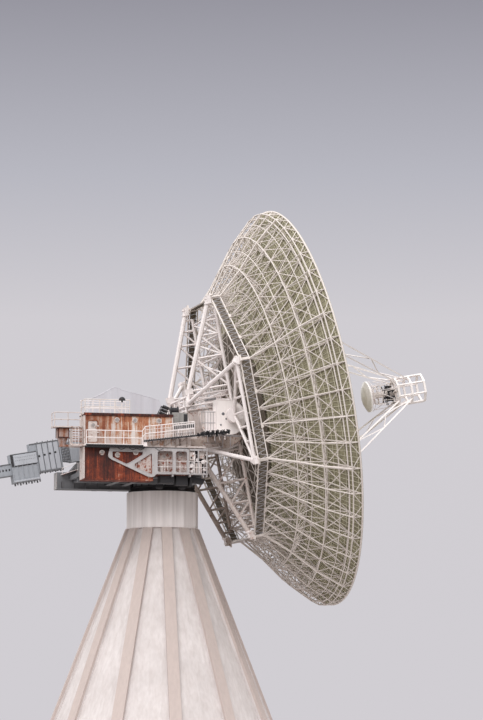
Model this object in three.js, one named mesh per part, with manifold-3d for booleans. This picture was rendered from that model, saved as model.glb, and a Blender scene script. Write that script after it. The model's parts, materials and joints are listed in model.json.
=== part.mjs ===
import * as THREE from 'three';
import { mergeVertices } from 'three/addons/utils/BufferGeometryUtils.js';
import Module from 'manifold-3d';

// A large dish antenna on a ribbed concrete tower, as a 1:10 scale model.
// Every size is the real one in metres times METRE.
// The origin is the centre of the tower's foot, on the axis that the platform turns about.
// +X is where the dish points, +Z is up, and -Y is the near side.

const METRE = 100;
const SEAT_GAP = 0.003 * METRE;
const NEAR = -1;
const FAR = 1;

// Concrete tower
const TOWER_HEIGHT = 25 * METRE;
const DRUM_HEIGHT = 2.85 * METRE;
const DRUM_RADIUS = 2.84 * METRE;
const FLARE_FOOT_RADIUS = 11.2 * METRE;
const FLARE_TOP_RADIUS = 2.56 * METRE;
const RIB_COUNT = 12;
const RIB_PHASE = THREE.MathUtils.degToRad(-5.5);
const RIB_FOOT_WIDTH = 1.0 * METRE;
const RIB_TOP_WIDTH = 0.8 * METRE;
const RIB_PROUD = 0.32 * METRE;

// Turntable and the welded frame of the platform
const TURNTABLE_RADIUS = 2.5 * METRE;
const TURNTABLE_LIP = 0.15 * METRE;
const TURNTABLE_HEIGHT = 0.85 * METRE;
const FRAME_BACK = -8.6 * METRE;
const FRAME_FRONT = 2.1 * METRE;
const FRAME_TOP = 26.2 * METRE;
const SLAB_BACK = -7.6 * METRE;
const FRAME_NOTCH = -5.2 * METRE;
const GIRDER_BOTTOM = 25.14 * METRE;
const GIRDER_TOP = 26.46 * METRE;
const GIRDER_HALF_WIDTH = 0.55 * METRE;

// Cabins, one along each side of the platform
const CABIN_INNER = 4.7 * METRE;
const CABIN_OUTER = 6.4 * METRE;
const CABIN_BACK = { near: -7.6 * METRE, far: -4.9 * METRE };
const CABIN_FRONT = -0.6 * METRE;
const LOWER_WALL_FRONT = -2.15 * METRE;
const LOWER_RECESS_FRONT = 1.1 * METRE;
const LOWER_RECESS_DEPTH = 0.45 * METRE;
const LOWER_BOTTOM = { near: 25.45 * METRE, far: 25.75 * METRE };
const FLOOR_BOTTOM = 28.05 * METRE;
const FLOOR_TOP = 28.2 * METRE;
const FLOOR_FRONT = 2.0 * METRE;
const FLOOR_LIP = 0.07 * METRE;
const ROOF_BOTTOM = 30.5 * METRE;
const ROOF_THICK = 0.12 * METRE;
const ROOF_RAIL_END = -4.0 * METRE;
const BALCONY_BACK = -8.6 * METRE;
const UPPER_DECK_BACK = -9.9 * METRE;
const UPPER_DECK_BOTTOM = 29.5 * METRE;

// Railings
const RAIL_HEIGHT = 1.1 * METRE;
const RAIL_BAR = 0.07 * METRE;

// Elevation axis and the bearings that carry it
const AXIS_X = 4.35 * METRE;
const AXIS_Z = 30.75 * METRE;
const REST_ELEVATION = THREE.MathUtils.degToRad(10.6);
const BEARING_INNER = 4.45 * METRE;
const BEARING_OUTER = 5.6 * METRE;
const BEARING_BACK = 3.03 * METRE;
const BEARING_BOTTOM = 29.22 * METRE;
const BEARING_TOP = 31.98 * METRE;
const TRUNNION_RADIUS = 0.4 * METRE;
const TRUNNION_REACH = 6.0 * METRE;

// Dish, in its own frame: x ahead of the elevation axis along the dish's axis, z up, y across
const DISH_RADIUS = 16 * METRE;
const FOCAL_LENGTH = 11.43 * METRE;
const VERTEX_AHEAD = 1.4 * METRE;
const SHELL_THICK = 0.06 * METRE;
const CENTRE_HOLE_RADIUS = 1.75 * METRE;
const SHELL_RADII = [1.75, 5, 8, 11, 13.5, 16].map((radius) => radius * METRE);
const SHELL_SEGMENTS = 48;

// Backing trusses and hoops, as [radius, distance ahead of the axis].
// The trusses are split at one radius, and the outer ones rest on the support ring.
const HUB_BACK = 0.8 * METRE;
const RADIAL_COUNT = 16;
const HOOP_SIDES = 32;
const RADIAL_THICK = 0.14 * METRE;
const HUB_HOOP = [2.15 * METRE, 0.93 * METRE];
const INNER_HOOP = [12.2 * METRE, 2.95 * METRE];
const MIDDLE_HOOP = [14.2 * METRE, 4.5 * METRE];
const TRUSS_SPLIT = 9.05 * METRE;
const TRUSS_END = 15.72 * METRE;
const HOOP_SECTION = 0.26 * METRE;

// Octagonal support ring
const RING_RADIUS = 10.3 * METRE;
const RING_SIDES = 8;
const RING_PHASE = Math.PI / RING_SIDES;
const RING_BACK = 0.5 * METRE;
const RING_FRONT = 1.04 * METRE;
const RING_CHORD = 0.2 * METRE;
const RING_HEAD_BACK = 0.32 * METRE;
const RING_HEAD_DEPTH = 0.5 * METRE;

// Cradle behind the elevation axis
const CRADLE_HALF_WIDTH = 3.5 * METRE;
const CRADLE_PLATE = 0.35 * METRE;
const CRADLE_BACK = -3.15 * METRE;
const CRADLE_FRONT = HUB_BACK - SEAT_GAP;
const CRADLE_HALF_HEIGHT = 2.3 * METRE;

// Tubes of the frames
const MAIN_TUBE = 0.37 * METRE;
const POST_TUBE = 0.28 * METRE;
const POST_AHEAD = 0.58 * METRE;
const BRACE_BAR = 0.18 * METRE;
const FRAME_HEAD = [0.1, 3.94, 9.3];
const FRAME_REAR = [-2.6, 3.33, 2.55];
const BRACED_SHARES = { top: [0.16, 0.4, 0.64, 0.88], bottom: [0.12, 0.3, 0.48] };

// Four legs, apex cage and secondary mirror
const LEG_FOOT_RADIUS = 10.2 * METRE;
const LEG_DEPTH = 1.0 * METRE;
const LEG_CHORD = 0.16 * METRE;
const LEG_LACING = 0.1 * METRE;
const CAGE_RADIUS = 1.15 * METRE;
const CAGE_BACK = 15.1 * METRE;
const CAGE_FRONT = 17.3 * METRE;
const SECONDARY_RADIUS = 1.25 * METRE;
const SECONDARY_BACK = 12.95 * METRE;

// Tail behind the cabins, in its own frame sloping down to the rear
const TAIL_SLOPE = THREE.MathUtils.degToRad(10);
const TAIL_ROOT_X = -6.85 * METRE;
const TAIL_ROOT_Z = 28.1 * METRE;
const TAIL_HALF_WIDTH = 0.5 * METRE;

const wasm = await Module();
wasm.setup();

const UP = new THREE.Vector3(0, 1, 0);

function point(x, y, z) {
  return new THREE.Vector3(x * METRE, y * METRE, z * METRE);
}

// Turns a closed geometry into a solid that can be joined or cut
function toSolid(geometry) {
  const bare = new THREE.BufferGeometry();
  bare.setAttribute('position', geometry.getAttribute('position').clone());
  if (geometry.index) bare.setIndex(geometry.index.clone());
  const merged = mergeVertices(bare, 1e-3);
  return new wasm.Manifold(new wasm.Mesh({
    numProp: 3,
    vertProperties: new Float32Array(merged.getAttribute('position').array),
    triVerts: new Uint32Array(merged.index.array),
  }));
}

function toGeometry(solid) {
  const mesh = solid.getMesh();
  const geometry = new THREE.BufferGeometry();
  geometry.setAttribute('position', new THREE.BufferAttribute(mesh.vertProperties, 3));
  geometry.setIndex(new THREE.BufferAttribute(mesh.triVerts, 1));
  return geometry;
}

function join(geometries) {
  return toGeometry(geometries.map(toSolid).reduce((whole, next) => whole.add(next)));
}

function cut(geometry, tools) {
  return toGeometry(tools.map(toSolid).reduce((whole, tool) => whole.subtract(tool), toSolid(geometry)));
}

// A box between two corners
function box(x0, x1, y0, y1, z0, z1) {
  const geometry = new THREE.BoxGeometry(Math.abs(x1 - x0), Math.abs(y1 - y0), Math.abs(z1 - z0));
  return geometry.translate((x0 + x1) / 2, (y0 + y1) / 2, (z0 + z1) / 2);
}

// A box on one side of the platform, from its inner to its outer distance off the centre plane
function sideBox(side, x0, x1, inner, outer, z0, z1) {
  return box(x0, x1, side * inner, side * outer, z0, z1);
}

// A straight bar or tube between two points
function bar(from, to, width, sides = 4) {
  const along = to.clone().sub(from);
  const geometry = new THREE.CylinderGeometry(width / 2, width / 2, along.length(), sides, 1);
  geometry.applyQuaternion(new THREE.Quaternion().setFromUnitVectors(UP, along.clone().normalize()));
  const middle = from.clone().add(to).multiplyScalar(0.5);
  return geometry.translate(middle.x, middle.y, middle.z);
}

// A flat plate drawn as [x, y] points and given a thickness along z, with openings cut through it
function flatPlate(outline, holes, z0, z1) {
  const slab = (points, low, high) => {
    const shape = new THREE.Shape(points.map(([x, y]) => new THREE.Vector2(x, y)));
    const geometry = new THREE.ExtrudeGeometry(shape, { depth: high - low, bevelEnabled: false });
    return geometry.translate(0, 0, low);
  };
  const margin = z1 - z0;
  return cut(slab(outline, z0, z1), holes.map((hole) => slab(hole, z0 - margin, z1 + margin)));
}

// An outline of [x, z] points drawn on a side plane and given a thickness across it
function sidePlate(outline, holes, y0, y1) {
  const geometry = flatPlate(outline, holes, -Math.max(y0, y1), -Math.min(y0, y1));
  return geometry.rotateX(Math.PI / 2);
}

// A profile of [radius, distance] points turned about the vertical axis
function turned(profile, segments, phase = 0) {
  const points = profile.map(([radius, distance]) => new THREE.Vector2(radius, distance));
  const geometry = new THREE.LatheGeometry(points, segments);
  geometry.rotateX(Math.PI / 2);
  return geometry.rotateZ(phase);
}

// The same about the dish's own axis
function turnedAboutDish(profile, segments, phase = 0) {
  const geometry = turned(profile, segments, phase);
  return geometry.rotateY(Math.PI / 2);
}

function rectangleProfile(radius, distance, width, height) {
  return [
    [radius - width / 2, distance - height / 2],
    [radius + width / 2, distance - height / 2],
    [radius + width / 2, distance + height / 2],
    [radius - width / 2, distance + height / 2],
    [radius - width / 2, distance - height / 2],
  ];
}

// A point of the dish at an angle round its axis, 0 on the near side and 90 degrees at the top
function dishPoint(radius, ahead, angle) {
  return new THREE.Vector3(ahead, NEAR * radius * Math.cos(angle), radius * Math.sin(angle));
}

function surfaceAhead(radius) {
  return VERTEX_AHEAD + (radius * radius) / (4 * FOCAL_LENGTH);
}

// Posts and rails of a railing along a path at deck level
function railingBars(path, spacing) {
  const bars = [];
  const top = new THREE.Vector3(0, 0, RAIL_HEIGHT);
  const middle = new THREE.Vector3(0, 0, RAIL_HEIGHT / 2);
  const postAt = (foot) => bars.push(bar(foot, foot.clone().add(top), RAIL_BAR));
  for (let i = 1; i < path.length; i += 1) {
    const from = path[i - 1];
    const to = path[i];
    const bays = Math.max(1, Math.round(from.distanceTo(to) / spacing));
    for (let bay = i === 1 ? 0 : 1; bay <= bays; bay += 1) postAt(from.clone().lerp(to, bay / bays));
    bars.push(bar(from.clone().add(top), to.clone().add(top), RAIL_BAR));
    bars.push(bar(from.clone().add(middle), to.clone().add(middle), RAIL_BAR));
  }
  return bars;
}

// Zigzag lacing between two chords given by their end points
function lacing(startA, endA, startB, endB, bays, width) {
  const bars = [];
  for (let bay = 0; bay < bays; bay += 1) {
    const from = bay % 2 === 0 ? startA.clone().lerp(endA, bay / bays) : startB.clone().lerp(endB, bay / bays);
    const next = (bay + 1) / bays;
    const to = bay % 2 === 0 ? startB.clone().lerp(endB, next) : startA.clone().lerp(endA, next);
    bars.push(bar(from, to, width, 3));
  }
  return bars;
}

function rungs(startA, endA, startB, endB, places, width) {
  return places.map((place) => bar(startA.clone().lerp(endA, place), startB.clone().lerp(endB, place), width, 3));
}

// Concrete tower

function towerFlare() {
  const top = TOWER_HEIGHT - DRUM_HEIGHT;
  const cone = turned([
    [0, 0],
    [FLARE_FOOT_RADIUS, 0],
    [FLARE_TOP_RADIUS, top],
    [0, top],
  ], 4 * RIB_COUNT, RIB_PHASE);
  const run = FLARE_FOOT_RADIUS - FLARE_TOP_RADIUS;
  const slant = Math.hypot(run, top);
  const lean = Math.atan2(run, top);
  const overrun = RIB_PROUD;
  const outline = new THREE.Shape([
    new THREE.Vector2(-RIB_FOOT_WIDTH / 2, -overrun),
    new THREE.Vector2(RIB_FOOT_WIDTH / 2, -overrun),
    new THREE.Vector2(RIB_TOP_WIDTH / 2, slant),
    new THREE.Vector2(-RIB_TOP_WIDTH / 2, slant),
  ]);
  const pieces = [cone];
  for (let i = 0; i < RIB_COUNT; i += 1) {
    const rib = new THREE.ExtrudeGeometry(outline, { depth: 2 * RIB_PROUD, bevelEnabled: false });
    rib.translate(0, 0, -RIB_PROUD);
    rib.rotateX(Math.PI / 2 - lean);
    rib.translate(0, -FLARE_FOOT_RADIUS, 0);
    rib.rotateZ(Math.PI / 2 + RIB_PHASE + (i * 2 * Math.PI) / RIB_COUNT);
    pieces.push(rib);
  }
  const reach = FLARE_FOOT_RADIUS + METRE;
  return cut(join(pieces), [
    box(-reach, reach, -reach, reach, -METRE, 0),
    box(-reach, reach, -reach, reach, top, top + METRE),
  ]);
}

function towerDrum() {
  const bottom = TOWER_HEIGHT - DRUM_HEIGHT;
  return turned([[0, bottom], [DRUM_RADIUS, bottom], [DRUM_RADIUS, TOWER_HEIGHT], [0, TOWER_HEIGHT]],
    RIB_COUNT, RIB_PHASE);
}

// Platform

function turntable() {
  const bottom = TOWER_HEIGHT + SEAT_GAP;
  const top = TOWER_HEIGHT + TURNTABLE_HEIGHT;
  return turned([
    [0, bottom],
    [TURNTABLE_RADIUS + TURNTABLE_LIP, bottom],
    [TURNTABLE_RADIUS, bottom + 2 * TURNTABLE_LIP],
    [TURNTABLE_RADIUS, top],
    [0, top],
  ], 32);
}

// Deck slab, notched at the rear on the far side, over one deep girder along the middle
function platformFrame() {
  const slabBottom = TOWER_HEIGHT + TURNTABLE_HEIGHT;
  const girderFront = -TURNTABLE_RADIUS - 0.2 * METRE;
  const outline = [
    [SLAB_BACK, -CABIN_INNER],
    [FRAME_FRONT, -CABIN_INNER],
    [FRAME_FRONT, CABIN_INNER],
    [FRAME_NOTCH, CABIN_INNER],
    [FRAME_NOTCH, METRE],
    [SLAB_BACK, METRE],
  ];
  return join([
    flatPlate(outline, [], slabBottom, FRAME_TOP),
    box(FRAME_BACK, girderFront, -GIRDER_HALF_WIDTH, GIRDER_HALF_WIDTH, GIRDER_BOTTOM, GIRDER_TOP),
  ]);
}

function cabinLower(side, label) {
  const bottom = LOWER_BOTTOM[label];
  const wall = sideBox(side, CABIN_BACK[label], LOWER_WALL_FRONT, CABIN_INNER, CABIN_OUTER, bottom, FLOOR_BOTTOM);
  const recessed = sideBox(side, LOWER_WALL_FRONT - METRE, LOWER_RECESS_FRONT, CABIN_INNER,
    CABIN_OUTER - LOWER_RECESS_DEPTH, bottom + METRE / 2, FLOOR_BOTTOM);
  return join([wall, recessed]);
}

function cabinFloor(side, label) {
  return sideBox(side, CABIN_BACK[label] - FLOOR_LIP, FLOOR_FRONT, CABIN_INNER, CABIN_OUTER + FLOOR_LIP,
    FLOOR_BOTTOM, FLOOR_TOP);
}

function cabinUpper(side, label) {
  return sideBox(side, CABIN_BACK[label], CABIN_FRONT, CABIN_INNER, CABIN_OUTER, FLOOR_TOP, ROOF_BOTTOM);
}

// Roof plate, on the near side with a railing round its rear part
function cabinRoof(side, label) {
  const inner = CABIN_INNER + RAIL_BAR;
  const outer = CABIN_OUTER - RAIL_BAR;
  const back = CABIN_BACK[label] + RAIL_BAR;
  const deck = ROOF_BOTTOM + ROOF_THICK - RAIL_BAR / 2;
  const plate = sideBox(side, CABIN_BACK[label] - FLOOR_LIP, CABIN_FRONT + FLOOR_LIP, CABIN_INNER,
    CABIN_OUTER + FLOOR_LIP, ROOF_BOTTOM, ROOF_BOTTOM + ROOF_THICK);
  if (side === FAR) return plate;
  const path = [
    new THREE.Vector3(back, side * inner, deck),
    new THREE.Vector3(back, side * outer, deck),
    new THREE.Vector3(ROOF_RAIL_END, side * outer, deck),
  ];
  return join([plate, ...railingBars(path, 1.2 * METRE)]);
}

// Pale bracket plate with triangular and oblong holes, on the outer face of the lower storey,
// and the low walkway at its foot
function webFrame(side) {
  const inner = CABIN_OUTER + SEAT_GAP;
  const outer = CABIN_OUTER + 0.14 * METRE;
  const front = 2.2 * METRE;
  const foot = 25.7 * METRE;
  const head = FLOOR_BOTTOM - 0.05 * METRE;
  const outline = [
    [-5.72, 27.3], [-4.54, 26.64], [-2.4, 25.7],
  ].map(([x, z]) => [x * METRE, z * METRE]);
  outline.push([front, foot], [front, head], [-5.52 * METRE, head]);
  const holes = [
    [[-5.4, 27.85], [-5.45, 27.4], [-4.3, 26.8], [-2.95, 27.85]],
    [[-3.7, 26.45], [-2.35, 25.9], [-2.35, 27.55]],
  ].map((hole) => hole.map(([x, z]) => [x * METRE, z * METRE]));
  const bayWidth = 1.16 * METRE;
  const postWidth = 0.2 * METRE;
  for (let bay = 0; bay < 3; bay += 1) {
    const left = -1.85 * METRE + bay * (bayWidth + postWidth);
    const right = Math.min(left + bayWidth, front - postWidth);
    holes.push([[left, 26.25 * METRE], [right, 26.25 * METRE], [right, 27.8 * METRE], [left, 27.8 * METRE]]);
  }
  if (side === FAR) holes.shift();
  const whole = sidePlate(outline, holes, side * inner, side * outer);
  const behind = sideBox(side, -7 * METRE, CABIN_BACK.far, inner - METRE, outer + METRE, foot, FLOOR_BOTTOM);
  const plate = side === FAR ? cut(whole, [behind]) : whole;
  const walkInner = CABIN_OUTER - LOWER_RECESS_DEPTH + SEAT_GAP;
  const walk = sideBox(side, LOWER_WALL_FRONT + SEAT_GAP, front, walkInner, outer, foot, 26.1 * METRE);
  return join([plate, walk]);
}

// Ledge along the cabin, and the ramp that steps up from it and climbs to the elevation bearing, with railings
function gangway(side, label) {
  const inner = CABIN_OUTER + FLOOR_LIP + SEAT_GAP;
  const outer = 7.0 * METRE;
  const landingInner = BEARING_OUTER + SEAT_GAP;
  const deck = 0.14 * METRE;
  const ledge = 28.2 * METRE;
  const start = CABIN_BACK[label];
  const stepX = -3.05 * METRE;
  const riserX = -2.75 * METRE;
  const front = 3.85 * METRE;
  const landingBack = 2.3 * METRE;
  const railEnd = 1.0 * METRE;
  const rampZ = (x) => 28.55 * METRE + ((x - stepX) / (front - stepX)) * 0.85 * METRE;
  const walk = sidePlate([
    [start, ledge], [stepX, ledge], [stepX, rampZ(stepX)], [front, rampZ(front)], [front, rampZ(front) - deck],
    [riserX, rampZ(riserX) - deck], [riserX, ledge - deck], [start, ledge - deck],
  ], [], side * inner, side * outer);
  const landing = sidePlate([
    [landingBack, rampZ(landingBack)], [front, rampZ(front)],
    [front, rampZ(front) - deck], [landingBack, rampZ(landingBack) - deck],
  ], [], side * landingInner, side * (inner + RAIL_BAR));
  const onEdge = (x, z) => new THREE.Vector3(x, side * (outer - RAIL_BAR), z - RAIL_BAR);
  const ledgePath = [onEdge(start + RAIL_BAR, ledge), onEdge(stepX - RAIL_BAR, ledge)];
  const rampPath = [stepX + 2 * RAIL_BAR, railEnd].map((x) => onEdge(x, rampZ(x)));
  return join([walk, landing, ...railingBars(ledgePath, 1.3 * METRE), ...railingBars(rampPath, 1.3 * METRE)]);
}

// Arm that runs from the cabin floor out to the bearing, with the wedge under it
function bearingArm(side) {
  const outline = [
    [-0.5, 28.2], [1.98, 28.2], [2.02, 28.6], [3.45, 28.6], [3.65, 28.25], [4.15, 28.25],
    [5.3, 29.1], [5.3, 29.217], [2.1, 29.217], [1.7, 28.85], [-0.5, 28.85],
  ].map(([x, z]) => [x * METRE, z * METRE]);
  return sidePlate(outline, [], side * CABIN_INNER, side * 5.5 * METRE);
}

function bearingHousing(side) {
  const radius = (BEARING_TOP - BEARING_BOTTOM) / 2;
  const centreX = 5.45 * METRE - radius;
  const centreZ = (BEARING_TOP + BEARING_BOTTOM) / 2;
  const shape = new THREE.Shape();
  shape.moveTo(BEARING_BACK, BEARING_BOTTOM);
  shape.lineTo(centreX, BEARING_BOTTOM);
  shape.absarc(centreX, centreZ, radius, -Math.PI / 2, Math.PI / 2, false);
  shape.lineTo(BEARING_BACK, BEARING_TOP);
  shape.closePath();
  const bore = new THREE.Path();
  bore.absarc(AXIS_X, AXIS_Z, TRUNNION_RADIUS + 2 * SEAT_GAP, 0, 2 * Math.PI, true);
  shape.holes.push(bore);
  const depth = BEARING_OUTER - BEARING_INNER;
  const geometry = new THREE.ExtrudeGeometry(shape, { depth, bevelEnabled: false, curveSegments: 12 });
  geometry.rotateX(Math.PI / 2);
  return geometry.translate(0, side === NEAR ? -BEARING_INNER : BEARING_OUTER, 0);
}

function driveCabinet(side) {
  return sideBox(side, 2.2 * METRE, BEARING_BACK - SEAT_GAP, CABIN_INNER, 5.5 * METRE,
    BEARING_BOTTOM, 31.1 * METRE);
}

// Sheet-metal hood on the far roof, with a ridge that rises and falls along its length
function roofHood() {
  const ridge = [
    [-4.9, 30.62], [-4.85, 32.9], [-4.15, 33.2], [-2.92, 33.9], [-1.9, 33.6], [-0.11, 33.18], [0.75, 32.9],
    [1.0, 32.2], [0.5, 31.2], [-0.55, 30.62],
  ].map(([x, z]) => [x * METRE, z * METRE]);
  return sidePlate(ridge, [], FAR * (CABIN_INNER + 0.1 * METRE), FAR * (CABIN_OUTER - 0.1 * METRE));
}

function louvreBox() {
  const outline = [[-1.45, 30.62], [-0.65, 30.62], [-0.6, 31.0], [-1.1, 31.6], [-1.5, 31.25]]
    .map(([x, z]) => [x * METRE, z * METRE]);
  return sidePlate(outline, [], NEAR * 4.9 * METRE, NEAR * 5.9 * METRE);
}

// Railed balcony on the back wall of the near cabin, under a longer railed deck on two tall posts
function rearBalcony() {
  const front = CABIN_BACK.near - FLOOR_LIP - SEAT_GAP;
  const edge = (distance) => NEAR * (distance - RAIL_BAR);
  const railed = (back, outer, bottom, top) => {
    const level = top - RAIL_BAR / 2;
    const path = [
      new THREE.Vector3(front - RAIL_BAR, edge(outer), level),
      new THREE.Vector3(back + RAIL_BAR, edge(outer), level),
      new THREE.Vector3(back + RAIL_BAR, edge(CABIN_INNER + 2 * RAIL_BAR), level),
    ];
    return [sideBox(NEAR, back, front, CABIN_INNER, outer, bottom, top), ...railingBars(path, 0.9 * METRE)];
  };
  const tallPosts = [front - RAIL_BAR, BALCONY_BACK + RAIL_BAR].map((x) => bar(
    new THREE.Vector3(x, edge(5.9 * METRE), FLOOR_TOP - RAIL_BAR / 2),
    new THREE.Vector3(x, edge(5.9 * METRE), UPPER_DECK_BOTTOM + RAIL_BAR / 2), 1.4 * RAIL_BAR));
  return join([
    ...railed(BALCONY_BACK, CABIN_OUTER, FLOOR_BOTTOM, FLOOR_TOP),
    ...railed(UPPER_DECK_BACK, 6.0 * METRE, UPPER_DECK_BOTTOM, UPPER_DECK_BOTTOM + 0.09 * METRE),
    ...tallPosts,
  ]);
}

// Tail

// A box of the tail: back and front along it, and its lowest and highest edge across it
function tailBox(back, front, halfWidth, low, high) {
  return box(back, front, -halfWidth, halfWidth, low, high);
}

const TAIL_INNER_BOX = [-3.85 * METRE, -1.4 * METRE, TAIL_HALF_WIDTH, -1.12 * METRE, 1.22 * METRE];
const TAIL_OUTER_BACK = -5.5 * METRE;

// Block on the pedestal, and the ribbed taper behind it
function tailRoot() {
  const core = tailBox(-1.397 * METRE, 0.1 * METRE, 0.4 * METRE, -0.45 * METRE, 0.55 * METRE);
  const block = tailBox(-0.72 * METRE, 0.6 * METRE, TAIL_HALF_WIDTH + 0.05 * METRE, -0.7 * METRE, 0.95 * METRE);
  const ribs = [];
  for (let i = 0; i < 5; i += 1) {
    const at = (-1.32 + 0.12 * i) * METRE;
    const half = (0.53 + 0.03 * i) * METRE;
    ribs.push(tailBox(at, at + 0.07 * METRE, 0.5 * METRE, -half, half + 0.08 * METRE));
  }
  return join([core, block, ...ribs]);
}

function tailPedestal() {
  const outline = [[-7.6, 26.463], [-6.0, 26.463], [-6.2, 27.499], [-6.8, 27.393]]
    .map(([x, z]) => [x * METRE, z * METRE]);
  return sidePlate(outline, [], -GIRDER_HALF_WIDTH, GIRDER_HALF_WIDTH);
}

function tailInnerBox() {
  return tailBox(...TAIL_INNER_BOX);
}

// The outer box wraps the end of the inner one, so its cheeks lie either side of it
function tailOuterBox() {
  const whole = tailBox(TAIL_OUTER_BACK, -3.4 * METRE, 0.62 * METRE, -1.64 * METRE, 0.62 * METRE);
  const [back, front, half, low, high] = TAIL_INNER_BOX;
  return cut(whole, [tailBox(back - SEAT_GAP, front, half + SEAT_GAP, low - SEAT_GAP, high)]);
}

function tailBeam() {
  return tailBox(-8.0 * METRE, TAIL_OUTER_BACK - SEAT_GAP, 0.3 * METRE, -1.04 * METRE, -0.06 * METRE);
}

// Small rusty cabin behind the balcony, with a hopper for its floor and a bracket out from the deck
function rearCabin() {
  const [back, front] = [-9.5 * METRE, -8.65 * METRE];
  const [outer, inner] = [NEAR * 5.7 * METRE, NEAR * 4.75 * METRE];
  const middle = [(back + front) / 2, (outer + inner) / 2];
  const walls = box(back, front, outer, inner, 28.72 * METRE, UPPER_DECK_BOTTOM - SEAT_GAP);
  const hopper = new THREE.CylinderGeometry(0.42 * METRE, 0.22 * METRE, 0.62 * METRE, 8);
  hopper.rotateX(Math.PI / 2);
  hopper.translate(middle[0], middle[1], 28.43 * METRE);
  const bracket = box(-9.3 * METRE, BALCONY_BACK - SEAT_GAP, outer + 0.2 * METRE, inner - 0.2 * METRE,
    FLOOR_BOTTOM, FLOOR_TOP);
  return join([walls, hopper, bracket]);
}

// Dish

function reflector() {
  const back = SHELL_RADII.map((radius) => [radius, surfaceAhead(radius) - SHELL_THICK]);
  const front = SHELL_RADII.map((radius) => [radius, surfaceAhead(radius)]).reverse();
  return turnedAboutDish([...back, ...front, back[0]], SHELL_SEGMENTS);
}

// Open plates drawn as [radius, ahead], one for each backing truss from the first to the last
function radialPlates(outline, holes, first = 0, last = RADIAL_COUNT - 1) {
  const metres = (hole) => hole.map(([radius, ahead]) => [radius * METRE, ahead * METRE]);
  const plates = [];
  for (let i = first; i <= last; i += 1) {
    const angle = (i * 2 * Math.PI) / RADIAL_COUNT;
    const geometry = flatPlate(outline, holes.map(metres), -RADIAL_THICK / 2, RADIAL_THICK / 2);
    const outward = new THREE.Vector3(0, NEAR * Math.cos(angle), Math.sin(angle));
    const ahead = new THREE.Vector3(1, 0, 0);
    const across = outward.clone().cross(ahead);
    plates.push(geometry.applyMatrix4(new THREE.Matrix4().makeBasis(outward, ahead, across)));
  }
  return plates;
}

function hoop([radius, ahead]) {
  return turnedAboutDish(rectangleProfile(radius, ahead, HOOP_SECTION, HOOP_SECTION), HOOP_SIDES);
}

// How far ahead a truss may reach at a radius, just behind the back of the shell
function underShell(radius) {
  const next = Math.max(1, SHELL_RADII.findIndex((shellRadius) => shellRadius >= radius));
  const [inner, outer] = [SHELL_RADII[next - 1], SHELL_RADII[next]];
  const share = (radius - inner) / (outer - inner);
  return THREE.MathUtils.lerp(surfaceAhead(inner), surfaceAhead(outer), share) - SHELL_THICK - SEAT_GAP;
}

// The upper half keeps the two trusses that lie level, and each half keeps its half of the hub hoop
function innerTrusses(isUpper) {
  const start = HUB_HOOP[0] - 0.15 * METRE;
  const end = TRUSS_SPLIT - SEAT_GAP;
  const onShell = [end, ...SHELL_RADII.filter((radius) => radius > start && radius < end).reverse(), start];
  const outline = [
    [start, HUB_BACK],
    [4.2 * METRE, 1.24 * METRE],
    [end, 1.15 * METRE],
    ...onShell.map((radius) => [radius, underShell(radius)]),
  ];
  const holes = [[[5.2, 1.5], [8.7, 1.5], [8.7, 2.6], [6.3, 1.95]]];
  const reach = HUB_HOOP[0] + METRE;
  const split = -RADIAL_THICK - (isUpper ? 0 : SEAT_GAP);
  const otherHalf = isUpper ? box(0, reach, -reach, reach, -reach, split) : box(0, reach, -reach, reach, split, reach);
  const [first, last] = isUpper ? [0, RADIAL_COUNT / 2] : [RADIAL_COUNT / 2 + 1, RADIAL_COUNT - 1];
  return join([...radialPlates(outline, holes, first, last), cut(hoop(HUB_HOOP), [otherHalf])]);
}

function outerTrusses() {
  const ringSeat = RING_FRONT + RING_CHORD / 2 + SEAT_GAP;
  const onShell = [TRUSS_END, ...SHELL_RADII.filter((radius) => radius > TRUSS_SPLIT && radius < TRUSS_END).reverse(),
    TRUSS_SPLIT];
  const outline = [
    [TRUSS_SPLIT, ringSeat],
    [10.75 * METRE, ringSeat],
    [INNER_HOOP[0], INNER_HOOP[1] - 0.1 * METRE],
    [MIDDLE_HOOP[0], MIDDLE_HOOP[1] - 0.1 * METRE],
    [TRUSS_END, 6.05 * METRE],
    ...onShell.map((radius) => [radius, underShell(radius)]),
  ];
  const holes = [
    [[9.35, 1.45], [10.6, 1.45], [11.8, 2.85], [11.8, 3.9], [9.35, 2.85]],
    [[12.5, 3.4], [13.9, 4.55], [13.9, 5.2], [12.5, 4.3]],
  ];
  return join([...radialPlates(outline, holes), hoop(INNER_HOOP), hoop(MIDDLE_HOOP)]);
}

function rimRing() {
  const under = (radius) => surfaceAhead(radius) - SHELL_THICK - SEAT_GAP;
  const inner = TRUSS_END + 0.05 * METRE;
  const back = 6.1 * METRE;
  const profile = [
    [inner, back],
    [DISH_RADIUS, back],
    [DISH_RADIUS, under(DISH_RADIUS)],
    [inner, under(inner)],
    [inner, back],
  ];
  return turnedAboutDish(profile, SHELL_SEGMENTS);
}

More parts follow.
